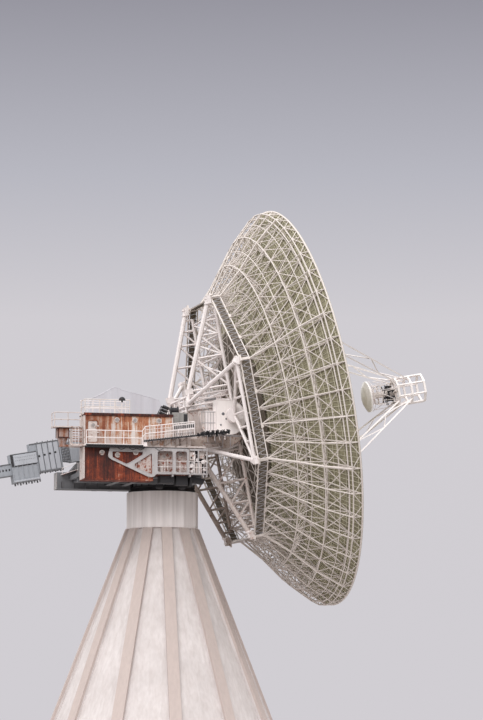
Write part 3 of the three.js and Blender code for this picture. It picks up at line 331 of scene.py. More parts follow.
SLOT_FINISH = {
    "concrete": CONCRETE, "dark_steel": DARK, "dark_rust": DEEP_RUST, "rusty_paint": RUSTY,
    "grey_paint": GREY, "white_paint": WHITE, "olive_aluminium": ALUMINIUM,
}
# Finishes by node. The bearing arms, the far bottom frame and the bottom bracing take white darkened as
# painted shade, and the near bottom frame takes the rust-stained white, partly as painted shade; the
# quadrupod, bearing housings and secondary mirror take paler whites as painted light.
NODE_FINISH = {
    "roof_hood": GALVANISED, "tail_root": TAIL_GREY, "tail_box_inner": TAIL_GREY, "tail_box_outer": TAIL_GREY,
    "tail_beam": TAIL_GREY, "cabin_floor_near": RUST_STAINED_WHITE_AND_SHADE, "cabin_floor_far": RUST_STAINED_WHITE_AND_SHADE,
    "bearing_arm_near": WHITE_PAINTED_SHADE, "bearing_arm_far": WHITE_PAINTED_SHADE,
    "secondary_mirror": WHITE_MIRROR_PAINTED_LIGHT, "quadrupod": PALE_WHITE_PAINTED_LIGHT, "cabin_roof_near": LATTICE, "cabin_roof_far": LATTICE,
    "rear_balcony": RUST_STAINED_WHITE_AND_SHADE,
    "bearing_housing_near": PALE_WHITE_PAINTED_LIGHT, "bearing_housing_far": PALE_WHITE_PAINTED_LIGHT, "bottom_frame_near": RUST_STAINED_WHITE_AND_SHADE,
    "bottom_frame_far": WHITE_PAINTED_SHADE, "bottom_bracing": WHITE_PAINTED_SHADE,
}
for row in frame["record"]["subparts"]:
    mesh = frame["nodes"][row["node"]].data
    mesh.materials.clear()
    mesh.materials.append(NODE_FINISH.get(row["node"], SLOT_FINISH[row["material_slot"]]))


SOCKET_KINDS = {
    "Geometry": "NodeSocketGeometry", "Radius": "NodeSocketFloat", "Depth": "NodeSocketFloat",
    "Sides": "NodeSocketInt", "Finish": "NodeSocketMaterial",
}


def new_grower(name, labels):
    """A node tree with these inputs, the inputs' identifiers, and the sockets that give their values."""
    tree = bpy.data.node_groups.new(name, "GeometryNodeTree")
    sockets = {}
    for label in labels:
        kind = SOCKET_KINDS[label]
        sockets[label] = tree.interface.new_socket(label, in_out="INPUT", socket_type=kind).identifier
    tree.interface.new_socket("Geometry", in_out="OUTPUT", socket_type="NodeSocketGeometry")
    return tree, sockets, add_node(tree, "NodeGroupInput").outputs


def end_grower(tree, shape, finish):
    """Realizes what the tree has grown and sets its finish."""
    solid = add_node(tree, "GeometryNodeRealizeInstances", {0: shape}).outputs[0]
    done = add_node(tree, "GeometryNodeSetMaterial", {"Geometry": solid, "Material": finish}).outputs[0]
    tree.links.new(done, add_node(tree, "NodeGroupOutput").inputs[0])


def bar_tree():
    """Grows a bar along each path of edges: half its width, its number of sides, and its finish."""
    tree, sockets, given = new_grower("bars_along_paths", ("Geometry", "Radius", "Sides", "Finish"))
    paths = add_node(tree, "GeometryNodeMeshToCurve", {0: given["Geometry"]}).outputs[0]
    section = add_node(tree, "GeometryNodeCurvePrimitiveCircle", {
        "Resolution": given["Sides"], "Radius": given["Radius"]}).outputs[0]
    bars = add_node(tree, "GeometryNodeCurveToMesh",
                    {"Curve": paths, "Profile Curve": section, "Fill Caps": True})
    end_grower(tree, bars.outputs[0], given["Finish"])
    return tree, sockets


def stud_tree():
    """Sets a short round head on each point, turned to the point's facing attribute."""
    tree, sockets, given = new_grower("round_heads_on_points",
                                      ("Geometry", "Radius", "Depth", "Sides", "Finish"))
    head = add_node(tree, "GeometryNodeMeshCylinder", {
        "Vertices": given["Sides"], "Radius": given["Radius"], "Depth": given["Depth"]}).outputs[0]
    facing = add_node(tree, "GeometryNodeInputNamedAttribute", {"Name": "facing"}, data_type="FLOAT_VECTOR")
    turn = add_node(tree, "FunctionNodeAlignRotationToVector", {"Vector": facing.outputs[0]},
                    axis="Z").outputs[0]
    points = add_node(tree, "GeometryNodeMeshToPoints", {"Mesh": given["Geometry"]}).outputs[0]
    heads = add_node(tree, "GeometryNodeInstanceOnPoints", {
        "Points": points, "Instance": head, "Rotation": turn}).outputs[0]
    end_grower(tree, heads, given["Finish"])
    return tree, sockets


BAR_TREE, BAR_SOCKETS = bar_tree()
STUD_TREE, STUD_SOCKETS = stud_tree()


def grown(mesh, tree, sockets, **values):
    """The plain mesh that a node tree makes from a guide mesh."""
    guide = bpy.data.objects.new("guide", mesh)
    bpy.context.scene.collection.objects.link(guide)
    modifier = guide.modifiers.new("grow", "NODES")
    modifier.node_group = tree
    for label, value in values.items():
        modifier[sockets[label]] = value
    bpy.context.view_layer.update()
    evaluated = guide.evaluated_get(bpy.context.evaluated_depsgraph_get())
    result = bpy.data.meshes.new_from_object(evaluated)
    bpy.data.objects.remove(guide)
    return result


class Piece:
    """One piece of the scene, put together from shapes in one frame of reference."""

    def __init__(self, name, body, slot, finish, place=GROUND, replaces=(), smooth=False):
        self.name, self.body, self.slot, self.finish = name, body, slot, finish
        self.place, self.replaces, self.smooth = place, replaces, smooth
        self.mesh = bmesh.new()
        self.grown_meshes = []

    def bars(self, paths, width, sides=4):
        """Bars along paths of points; a path that ends where it starts is closed."""
        points, edges = [], []
        for path in paths:
            is_closed = len(path) > 2 and (Vector(path[0]) - Vector(path[-1])).length < 1e-6
            own = path[:-1] if is_closed else path
            first = len(points)
            points += [self.place @ Vector(p) for p in own]
            edges += [(first + i, first + i + 1) for i in range(len(own) - 1)]
            if is_closed:
                edges.append((first + len(own) - 1, first))
        guide = bpy.data.meshes.new("paths")
        guide.from_pydata(points, edges, [])
        self.grown_meshes.append(grown(guide, BAR_TREE, BAR_SOCKETS, Radius=width / 2 * SCALE, Sides=sides,
                                       Finish=self.finish))

    def studs(self, places, radius, depth, sides=8):
        """Round heads at (point, facing) places."""
        guide = bpy.data.meshes.new("points")
        guide.from_pydata([self.place @ Vector(p) for p, _ in places], [], [])
        facing = guide.attributes.new("facing", "FLOAT_VECTOR", "POINT")
        turn = self.place.to_3x3()
        for i, (_, direction) in enumerate(places):
            facing.data[i].vector = (turn @ Vector(direction)).normalized()
        self.grown_meshes.append(grown(guide, STUD_TREE, STUD_SOCKETS, Radius=radius * SCALE,
                                       Depth=depth * SCALE, Sides=sides, Finish=self.finish))

    def block(self, x0, x1, y0, y1, z0, z1):
        """A block with its corners eased by a small chamfer."""
        shape = bmesh.ops.create_cube(self.mesh, size=1.0)
        size = Vector((abs(x1 - x0), abs(y1 - y0), abs(z1 - z0)))
        middle = Vector(((x0 + x1) / 2, (y0 + y1) / 2, (z0 + z1) / 2))
        for v in shape["verts"]:
            v.co = Vector([a * b for a, b in zip(v.co, size)]) + middle
        edges = list({e for v in shape["verts"] for e in v.link_edges})
        bmesh.ops.bevel(self.mesh, geom=edges, offset=min(0.02, 0.2 * min(size)), segments=1, affect="EDGES",
                        profile=0.5)

    def turned(self, centre, axis, profile, sides=24):
        """A closed solid of revolution from (distance, radius) pairs along the axis."""
        axis = Vector(axis).normalized()
        across = axis.orthogonal().normalized()
        up = axis.cross(across)
        rings = []
        for distance, radius in profile:
            rings.append([self.mesh.verts.new(
                Vector(centre) + axis * distance
                + (across * math.cos(a) + up * math.sin(a)) * max(radius, 1e-4))
                for a in (i * 2 * math.pi / sides for i in range(sides))])
        for low, high in zip(rings, rings[1:]):
            for i in range(sides):
                j = (i + 1) % sides
                self.mesh.faces.new((low[i], low[j], high[j], high[i]))
        self.mesh.faces.new(reversed(rings[0]))
        self.mesh.faces.new(rings[-1])

    def plate(self, outline, shift):
        """A flat outline of points swept by a shift."""
        low = [self.mesh.verts.new(Vector(p)) for p in outline]
        high = [self.mesh.verts.new(Vector(p) + Vector(shift)) for p in outline]
        count = len(outline)
        for i in range(count):
            j = (i + 1) % count
            self.mesh.faces.new((low[i], low[j], high[j], high[i]))
        self.mesh.faces.new(low)
        self.mesh.faces.new(high)

    def pierced_plate(self, outline, holes, y0, y1):
        """An upright plate with holes, drawn as [x, z] points, between two places across."""
        rings = [[self.mesh.verts.new((x, y0, z)) for x, z in ring] for ring in (outline, *holes)]
        edges = [self.mesh.edges.new((ring[i - 1], ring[i])) for ring in rings for i in range(len(ring))]
        sheet = bmesh.ops.triangle_fill(self.mesh, use_beauty=True, edges=edges)["geom"]
        faces = [g for g in sheet if isinstance(g, bmesh.types.BMFace)]
        grown_part = bmesh.ops.extrude_face_region(self.mesh, geom=faces)["geom"]
        for g in grown_part:
            if isinstance(g, bmesh.types.BMVert):
                g.co.y = y1

    def done(self):
        """Joins the shapes into one object, gives it its finish and body, and hides the nodes it replaces."""
        bmesh.ops.recalc_face_normals(self.mesh, faces=self.mesh.faces)
        self.mesh.transform(self.place)
        for part in self.grown_meshes:
            self.mesh.from_mesh(part)
            bpy.data.meshes.remove(part)
        mesh = bpy.data.meshes.new(self.name)
        self.mesh.to_mesh(mesh)
        self.mesh.free()
        mesh.materials.clear()
        mesh.materials.append(self.finish)
        for face in mesh.polygons:
            face.material_index = 0
            face.use_smooth = False
        if self.smooth:
            mesh.shade_smooth()
            mesh.set_sharp_from_angle(angle=math.radians(35))
        piece = bpy.data.objects.new(self.name, mesh)
        bpy.context.scene.collection.objects.link(piece)
        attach(piece, self.body)
        if self.replaces:
            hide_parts(*self.replaces)
        return piece


def finish_pieces(*pieces):
    """Ends these pieces, in this order."""
    for piece in pieces:
        piece.done()


def closed(points):
    """The points with the first one again at the end, which closes a path of bars."""
    return points + points[:1]


def rectangle(x0, x1, z0, z1):
    """The four [x, z] corners of an upright rectangle."""
    return [(x0, z0), (x1, z0), (x1, z1), (x0, z1)]


def blend(a, b, share):
    """The point this share of the way from a to b."""
    return Vector(a).lerp(Vector(b), share)


def rounded(corners, radius, steps=4):
    """A flat outline of [x, z] points with its corners rounded."""
    outline = []
    for before, corner, after in zip(corners[-1:] + corners[:-1], corners, corners[1:] + corners[:1]):
        at = Vector(corner)
        back, ahead = Vector(before) - at, Vector(after) - at
        reach = min(radius, 0.45 * back.length, 0.45 * ahead.length)
        start, end = at + back.normalized() * reach, at + ahead.normalized() * reach
        for i in range(steps + 1):
            t = i / steps
            outline.append(tuple(start.lerp(at, t).lerp(at.lerp(end, t), t)))
    return outline


def ring_points(centre, radius, count, normal=(0, 1, 0)):
    """Points evenly spaced round a circle."""
    normal = Vector(normal).normalized()
    across = normal.orthogonal().normalized()
    up = normal.cross(across)
    return [Vector(centre) + (across * math.cos(a) + up * math.sin(a)) * radius
            for a in (i * 2 * math.pi / count for i in range(count))]


def zigzag(start_a, end_a, start_b, end_b, bays):
    """Bars that cross from one chord to the other and back."""
    paths = []
    for bay in range(bays):
        near, far = bay / bays, (bay + 1) / bays
        if bay % 2 == 0:
            paths.append([blend(start_a, end_a, near), blend(start_b, end_b, far)])
        else:
            paths.append([blend(start_b, end_b, near), blend(start_a, end_a, far)])
    return paths


def dish_point(radius, ahead, angle):
    """Angle 0 is the near side and a quarter turn is the top."""
    return Vector((ahead, NEAR * radius * math.cos(angle), radius * math.sin(angle)))


def surface_ahead(radius):
    """How far ahead the reflecting surface stands at this radius."""
    return VERTEX_AHEAD + radius * radius / (4 * FOCAL_LENGTH)


def octagon_radius(angle):
    """Distance from the axis to the side of the support ring at this angle."""
    eighth = math.pi / 4
    off = (angle + eighth / 2) % eighth - eighth / 2
    return RING_RADIUS * math.cos(eighth / 2) / math.cos(off)


def radial_angle(k, count=RADIALS):
    """Angle of the k-th of this many equal steps round the dish."""
    return 2 * math.pi * k / count


def dish_ring(radius, ahead, count=RADIALS):
    """A closed path round the dish's axis."""
    return closed([dish_point(radius, ahead, radial_angle(k, count)) for k in range(count)])


def curved_sheet(piece, radii, angles, depths):
    """A curved sheet over three radii and three angles, between two depths behind the surface."""
    face, back = [[[piece.mesh.verts.new(dish_point(r, surface_ahead(r) - depth, a)) for a in angles]
                   for r in radii] for depth in depths]
    for i in range(2):
        for j in range(2):
            piece.mesh.faces.new((face[i][j], face[i][j + 1], face[i + 1][j + 1], face[i + 1][j]))
            piece.mesh.faces.new((back[i][j], back[i + 1][j], back[i + 1][j + 1], back[i][j + 1]))
    edge = closed([(0, 0), (0, 1), (0, 2), (1, 2), (2, 2), (2, 1), (2, 0), (1, 0)])
    for (a, b), (c, d) in zip(edge, edge[1:]):
        piece.mesh.faces.new((face[a][b], face[c][d], back[c][d], back[a][b]))


def dish_lattice():
    """Double-layer lattice behind the panels: rear chords and hoops, and bars that fan out forward."""
    piece = Piece("dish_lattice", "dish", "white_paint", LATTICE, DISH,
                  ("inner_trusses_upper", "inner_trusses_lower", "outer_trusses"))
    front_radii = [8.7, 10.0, 11.3, 13.2, 15.0]
    inner_radii = [2.4, 4.0, 5.7, 7.2, 8.7]
    front_gap, inner_gap = 0.2, 0.15

    def front(ring, k):
        radius = front_radii[ring]
        return dish_point(radius, surface_ahead(radius) - front_gap, radial_angle(k))

    def rear(hoop, k):
        return dish_point(*HOOPS[hoop], radial_angle(k))

    def seat(k):
        angle = radial_angle(k)
        return dish_point(octagon_radius(angle), RING_FRONT, angle)

    chords, braces, heavy = [], [], []
    for k in range(RADIALS):
        angle = radial_angle(k)
        chords.append([seat(k), rear("b", k), rear("c", k), rear("d", k)])
        braces += [[seat(k), front(0, k)], [seat(k), front(1, k)], [seat(k), front(2, k - 1)],
                   [seat(k), front(2, k + 1)], [seat(k), front(1, k + 1)]]
        for neighbour in (-1, 0, 1):
            braces.append([rear("b", k), front(2, k + neighbour)])
            braces.append([rear("b", k), front(3, k + neighbour)])
            braces.append([rear("c", k), front(3, k + neighbour)])
            braces.append([rear("c", k), front(4, k + neighbour)])
        braces.append([rear("d", k), front(4, k)])
        tip = dish_point(RIM[0], surface_ahead(RIM[0]) - inner_gap, angle)
        chords.append([front(ring, k) for ring in range(len(front_radii))] + [tip])
        if (k * 360 / RADIALS + 22.5) % 45 < 0.1:
            heavy.append([seat(k), rear("b", k), rear("c", k), rear("d", k)])
    hoops = [dish_ring(*hoop) for hoop in (*HOOPS.values(), (15.5, 6.0))]
    thin_hoops = [dish_ring(*hoop) for hoop in ((13.2, 3.73), (15.05, 5.38))]
    thin_hoops += [dish_ring(radius, surface_ahead(radius) - front_gap) for radius in front_radii]
    inner = []
    for k in range(0, RADIALS, 2):
        angle = radial_angle(k)
        ends = [dish_point(*HUB_CHORD, angle), dish_point(3.8, 1.26, angle),
                dish_point(9.4, RING_FRONT, angle)]
        inner.append(ends)
        heads = [dish_point(r, surface_ahead(r) - inner_gap, angle) for r in inner_radii]
        for low, high, heads_here in zip(inner_radii, inner_radii[1:], zip(heads, heads[1:])):
            middle = (low + high) / 2
            foot = dish_point(middle, RING_FRONT + 0.02 * middle, angle)
            inner += [[foot, head] for head in heads_here]
        inner.append(heads)
    for hoop in ((3.2, 1.24), (4.85, 1.27), (6.45, 1.3), (7.95, 1.33)):
        thin_hoops.append(dish_ring(*hoop, RADIALS // 2))
    hub = dish_ring(*HUB_CHORD, RADIALS // 2)
    piece.bars(chords, CHORD_BAR * 0.9)
    piece.bars(braces, TRUSS_BAR)
    piece.bars(heavy, CHORD_BAR * 1.6)
    piece.bars(hoops, CHORD_BAR)
    piece.bars(thin_hoops, TRUSS_BAR)
    piece.bars(inner, TRUSS_BAR)
    piece.bars([hub], 0.25)
    piece.done()


def surface_purlins():
    """Close-set purlins that carry the panels."""
    piece = Piece("surface_purlins", "dish", "white_paint", PURLIN, DISH)
    gap, count, steps = 0.09, 5 * RADIALS, 6
    rings, rays = [], []
    radius = 2.2
    while radius < RIM[0]:
        rings.append(dish_ring(radius, surface_ahead(radius) - gap, 2 * RADIALS))
        radius += 0.5
    for k in range(count):
        start = 2.2 if k % 4 == 0 else (5.0 if k % 2 == 0 else 8.2)
        radii = [start + (15.85 - start) * i / steps for i in range(steps + 1)]
        rays.append([dish_point(r, surface_ahead(r) - gap, radial_angle(k, count)) for r in radii])
    piece.bars(rings, 0.07)
    piece.bars(rays, 0.06)
    piece.done()


def reflector_panels():
    """Curved sheets laid in rings, each a few centimetres off its neighbours."""
    piece = Piece("reflector_panels", "dish", "olive_aluminium", ALUMINIUM, DISH, ("reflector",))
    bands = [1.78, 3.4, 5.0, 6.7, 8.4, 10.1, 11.8, 13.4, 14.8, 15.96]
    seam = 0.025
    thick = 0.045
    for low, high in zip(bands, bands[1:]):
        count = 24 if high <= 5.0 else 48
        for k in range(count):
            span = 2 * math.pi / count
            trim = seam / 2 / low
            angles = [k * span + trim, (k + 0.5) * span, (k + 1) * span - trim]
            radii = [low + seam / 2, (low + high) / 2, high - seam / 2]
            curved_sheet(piece, radii, angles, (0.0, thick))
    piece.done()


def rim_lattice():
    """Rim tube and the outermost hoop, braced in triangles half a bay wide."""
    piece = Piece("rim_lattice", "dish", "white_paint", LATTICE, DISH, ("rim_ring",))
    rim = dish_ring(*RIM, 2 * RADIALS)
    braces = []
    for k in range(RADIALS):
        foot = dish_point(*HOOPS["d"], radial_angle(k))
        braces += [[foot, rim[(2 * k + turn) % (2 * RADIALS)]] for turn in (0, 1, -1)]
    piece.bars([rim], RIM_BAR, 6)
    piece.bars(braces, TRUSS_BAR)
    piece.done()


def inner_painted_shade_sheets():
    """Dark brown sheets behind the middle panels: painted shade, where the back of the dish lies in shade
    among dense bars.
    """
    piece = Piece("inner_painted_shade_sheets", "dish", "dark_steel", SHADE, DISH)
    bands = [2.3, 3.9, 5.5, 7.0]
    for low, high in zip(bands, bands[1:]):
        for k in range(24):
            angles = [(k + share) * math.pi / 12 for share in (0.01, 0.5, 0.99)]
            curved_sheet(piece, [low + 0.03, (low + high) / 2, high - 0.03], angles, (0.17, 0.2))
    piece.done()


def support_ring():
    """Octagonal ring: two white chords, with a dark web of sheets and close-set lacing between them."""
    chords = Piece("ring_chords", "dish", "white_paint", LATTICE, DISH, ("support_ring",))
    web = Piece("ring_web_sheets", "dish", "dark_steel", SHADE, DISH)
    lacing = Piece("ring_web_lacing", "dish", "grey_paint", GREY, DISH)
    eighth = math.pi / 4

    def corner(side, ahead):
        return dish_point(RING_RADIUS, ahead, (side + 0.5) * eighth)

    def on_side(side, share, ahead):
        return blend(corner(side, ahead), corner(side + 1, ahead), share)

    bays = 16
    laces = []
    for side in range(8):
        outward = dish_point(1, 0, (side + 1) * eighth)
        for bay in range(bays):
            low, high = (bay + 0.06) / bays, (bay + 0.94) / bays
            sheet = rectangle(low, high, RING_BACK + 0.14, RING_FRONT - 0.12)
            web.plate([on_side(side, share, ahead) for share, ahead in sheet], -0.05 * outward)
        for bay in range(2 * bays):
            ends = (RING_BACK, RING_FRONT) if bay % 2 == 0 else (RING_FRONT, RING_BACK)
            laces.append([on_side(side, bay / bays / 2, ends[0]) + 0.02 * outward,
                          on_side(side, (bay + 1) / bays / 2, ends[1]) + 0.02 * outward])
        for share in (0.33, 0.67):
            centre = on_side(side, share, RING_FRONT) + 0.06 * outward
            along = (on_side(side, 1, 0) - on_side(side, 0, 0)).normalized()
            gusset = [centre + half * along + Vector((ahead, 0, 0))
                      for half, ahead in ((-0.22, -0.1), (0.22, -0.1), (0.16, 0.12), (-0.16, 0.12))]
            chords.plate(gusset, 0.05 * outward)
    for ahead, width in ((RING_BACK, 0.14), (RING_FRONT, 0.12)):
        chords.bars([closed([corner(side, ahead) for side in range(8)])], width)
    lacing.bars(laces, 0.045)
    corner_bolts = []
    for side in range(8):
        angle = (side + 0.5) * eighth
        outward, along = dish_point(1, 0, angle), dish_point(1, 0, angle + math.pi / 2)
        for low, high, half, wide in ((0.32, 0.44, 0.34, 0.24), (0.44, 1.16, 0.12, 0.1)):
            foot = corner(side, 0) + Vector((low, 0, 0))
            ends = [foot + half * out * outward + wide * turn * along
                    for out, turn in ((-1, -1), (-1, 1), (1, 1), (1, -1))]
            chords.plate(ends, (high - low, 0, 0))
        for turn in (-1, 1):
            for reach in (-0.26, 0, 0.26):
                corner_bolts.append((corner(side, 0.31) + reach * outward + turn * 0.2 * along, (1, 0, 0)))
    chords.studs(corner_bolts, 0.03, 0.05, 6)
    finish_pieces(chords, web, lacing)


dish_lattice()
surface_purlins()
reflector_panels()
rim_lattice()
inner_painted_shade_sheets()
support_ring()


# Platform: distance of its walls from the middle, ends and feet of the cabins, doors and portholes
WALL = 6.4
RECESS = 5.95
CABIN_BACK = {NEAR: -7.6, FAR: -4.9}
LOWER_FOOT = {NEAR: 25.45, FAR: 25.75}
DOOR = {NEAR: (-7.36, -6.53), FAR: (-4.72, -3.9)}
DOOR_FOOT = 28.36
DOOR_HEAD = 29.96
UPPER_STRIP = (28.21, 30.49)
UPPER_PORTHOLES = (-5.02, -3.62, -1.7)
LOWER_PORTHOLES = ((-6.19, 27.56), (-4.97, 27.4), (-3.53, 27.62), (-1.2, 27.35), (0.11, 27.56))


def porthole_places(side):
    """Where the portholes are: middle of each, on the outer face of its wall."""
    start = CABIN_BACK[side] + 0.4
    places = [(x, side * WALL, 30.11) for x in UPPER_PORTHOLES if x > start + 1]
    left, right = DOOR[side]
    places.append(((left + right) / 2 + 0.03, side * (WALL + 0.04), 29.66))
    for x, z in LOWER_PORTHOLES:
        if x > start:
            places.append((x, side * (WALL if x < -2.15 else RECESS), z))
    return places


def portholes():
    """Rims, panes and bolts of the portholes in walls and doors."""
    rims = Piece("porthole_rims", "platform", "white_paint", RUST_STAINED_WHITE_AND_SHADE, smooth=True)
    panes = Piece("porthole_panes", "platform", "grey_paint", GLASS, smooth=True)
    bolts = []
    for side in SIDES:
        for x, y, z in porthole_places(side):
            out = (0, side, 0)
            rims.turned((x, y, z), out,
                        [(-0.02, 0.21), (0.035, 0.21), (0.06, 0.19), (0.06, 0.145), (0.02, 0.135)], 20)
            panes.turned((x, y, z), out, [(0.0, 0.14), (0.035, 0.13), (0.05, 0.07)], 20)
            bolts += [(p + Vector((0, side * 0.055, 0)), out) for p in ring_points((x, y, z), 0.168, 8)]
    rims.studs(bolts, 0.018, 0.03, 6)
    finish_pieces(rims, panes)


def cabin_doors():
    """Door leaves with hinges and handles, and the frames round them."""
    doors = Piece("cabin_doors", "platform", "white_paint", RUST_STAINED_WHITE_AND_SHADE)
    frames = Piece("cabin_door_frames", "platform", "rusty_paint", RUSTY)
    for side in SIDES:
        left, right = DOOR[side]
        face = side * WALL
        leaf = rounded(rectangle(left + 0.06, right - 0.06, DOOR_FOOT, DOOR_HEAD), 0.12)
        doors.plate([(x, face - side * 0.01, z) for x, z in leaf], (0, side * 0.05, 0))
        outer = rounded(rectangle(left - 0.04, right + 0.04, DOOR_FOOT - 0.11, DOOR_HEAD + 0.11), 0.16)
        inner = rounded(rectangle(left + 0.03, right - 0.03, DOOR_FOOT - 0.03, DOOR_HEAD + 0.03), 0.14)
        frames.pierced_plate(outer, [inner], face - side * 0.01, face + side * 0.07)
        for z in (28.7, 29.1, 29.6):
            doors.block(right - 0.1, right + 0.06, face + side * 0.02, face + side * 0.1, z - 0.05, z + 0.05)
        handle = [(left + 0.16, face + side * out, z)
                  for out, z in ((0.03, 29.2), (0.13, 29.2), (0.13, 28.98), (0.03, 28.98))]
        doors.bars([handle], 0.035, 6)
    finish_pieces(doors, frames)


def cabin_skins():
    """Battens over the seams of the cladding, angle strips at its corners and edges, and black strips under
    the deck's edge as painted shadow, with hanging loops.
    """
    battens = Piece("upper_wall_battens", "platform", "rusty_paint", RUSTY)
    lower = Piece("lower_wall_battens", "platform", "dark_rust", DEEP_RUST)
    strips = Piece("cabin_corner_strips", "platform", "white_paint", RUST_STAINED_WHITE_AND_SHADE)
    eaves = Piece("eaves_angles", "platform", "dark_rust", DEEP_RUST)
    under = Piece("under_deck_painted_shadow_strips_and_loops", "platform", "dark_steel", BLACK)
    heads, loops = [], []
    for side in SIDES:
        back = CABIN_BACK[side]
        face = side * WALL
        for x in (-5.92, -4.3, -3.3, -2.42, -1.5):
            if x > back + 0.8 and not DOOR[side][0] < x < DOOR[side][1]:
                battens.block(x - 0.03, x + 0.03, face, face + side * 0.03, 28.24, 30.46)
                heads += [((x, face + side * 0.03, 28.4 + 0.23 * i), (0, side, 0)) for i in range(10)]
        for x in (-6.9, -5.7, -4.5, -3.4, -2.3):
            if x > back + 0.3:
                lower.block(x - 0.03, x + 0.03, face, face + side * 0.03, LOWER_FOOT[side] + 0.05, 28.0)
        for x0, x1 in ((back - 0.03, back + 0.09), (-0.69, -0.57)):
            strips.block(x0, x1, face - side * 0.08, face + side * 0.03, *UPPER_STRIP)
        strips.block(back - 0.03, back, side * 4.76, face - side * 0.06, LOWER_FOOT[side] + 0.06, 28.0)
        strips.block(back - 0.03, back, side * 4.86, face - side * 0.1, 28.25, 30.45)
        strips.block(back - 0.02, back + 0.05, face - side * 0.05, face + side * 0.02,
                     LOWER_FOOT[side] + 0.06, 28.0)
        # Black strips along the deck's edge: painted shadow of the deck on the wall below.
        under.block(back + 0.05, 0.6, side * 6.42, side * 6.5, 27.93, 28.05)
        if side == NEAR:
            under.block(back + 0.1, -2.9, side * 6.62, side * 6.94, 27.93, 28.05)
        under.block(back + 0.02, -3.06, side * 6.96, side * 7.02, 28.05, 28.15)
        loops += [[(x, side * 6.54, 27.95), (x + 0.3, side * 6.54, 27.8), (x + 0.62, side * 6.54, 27.95)]
                  for x in (-5.0, -4.1, -3.5, -2.0)]
        strips.block(back - 0.03, back, side * 4.72, side * 4.84, *UPPER_STRIP)
        for y in (5.25, 5.8):
            strips.block(back - 0.05, back, side * y, side * (y + 0.06), *UPPER_STRIP)
        eaves.block(back - 0.05, -0.55, face + side * 0.02, face + side * 0.09, 30.42, 30.63)
        eaves.block(back - 0.06, back, side * 4.8, face + side * 0.02, 30.42, 30.63)
        eaves.block(back - 0.02, -2.15, face - side * 0.05, face + side * 0.05, LOWER_FOOT[side] - 0.02,
                    LOWER_FOOT[side] + 0.1)
        eaves.block(-2.15, 1.1, side * RECESS - side * 0.04, side * RECESS + side * 0.04,
                    LOWER_FOOT[side] + 0.48, LOWER_FOOT[side] + 0.6)
    battens.studs(heads, 0.022, 0.03, 6)
    under.bars(loops, 0.05, 6)
    finish_pieces(battens, lower, strips, eaves, under)


def bracket_plates():
    """Buff bracket plate with rounded openings on each lower storey, its flanges, and the low walkway."""
    piece = Piece("bracket_plates", "platform", "grey_paint", BRACKET,
                  replaces=("web_frame_near", "web_frame_far"))
    outline = {
        NEAR: [(-5.6, 27.98), (-5.75, 27.25), (-5.5, 27.05), (-2.5, 25.72), (-2.1, 25.74), (-1.94, 26.0),
               (0.66, 26.0), (0.66, 27.98)],
        FAR: [(-4.88, 27.98), (-4.88, 26.8), (-2.5, 25.72), (-2.1, 25.74), (-1.94, 26.0), (0.66, 26.0),
              (0.66, 27.98)]}
    bays = [(-1.84, -0.62), (-0.4, 0.52)]
    for side in SIDES:
        inner, outer = side * (WALL + 0.02), side * (WALL + 0.13)
        holes = [rounded([(-3.68, 26.72), (-3.6, 26.42), (-2.24, 25.9), (-2.26, 27.62)], 0.17)]
        if side == NEAR:
            holes.append(rounded([(-5.42, 27.68), (-5.42, 27.2), (-4.3, 26.68), (-4.05, 26.78),
                                  (-3.02, 27.42), (-2.96, 27.68)], 0.1))
        holes += [rounded(rectangle(a, b, 26.12, 27.78), 0.2) for a, b in bays]
        piece.pierced_plate(rounded(outline[side], 0.14, 2), holes, inner, outer)
        piece.block(-2.13, 2.18, side * 5.97, side * 6.52, 25.98, 26.08)
        piece.block(0.72, 2.18, side * 6.42, side * 6.5, 27.84, 27.98)
        for x in (-2.05, -0.6, 0.77, 2.1):
            piece.block(x - 0.05, x + 0.05, side * 5.97, side * 6.5, 25.8, 25.98)
        for x in (1.42, 2.1):
            piece.block(x - 0.05, x + 0.05, side * 6.4, side * 6.5, 26.08, 27.84)
        for hole in holes:
            piece.bars([closed([(x, outer, z) for x, z in hole])], 0.06)
    piece.done()


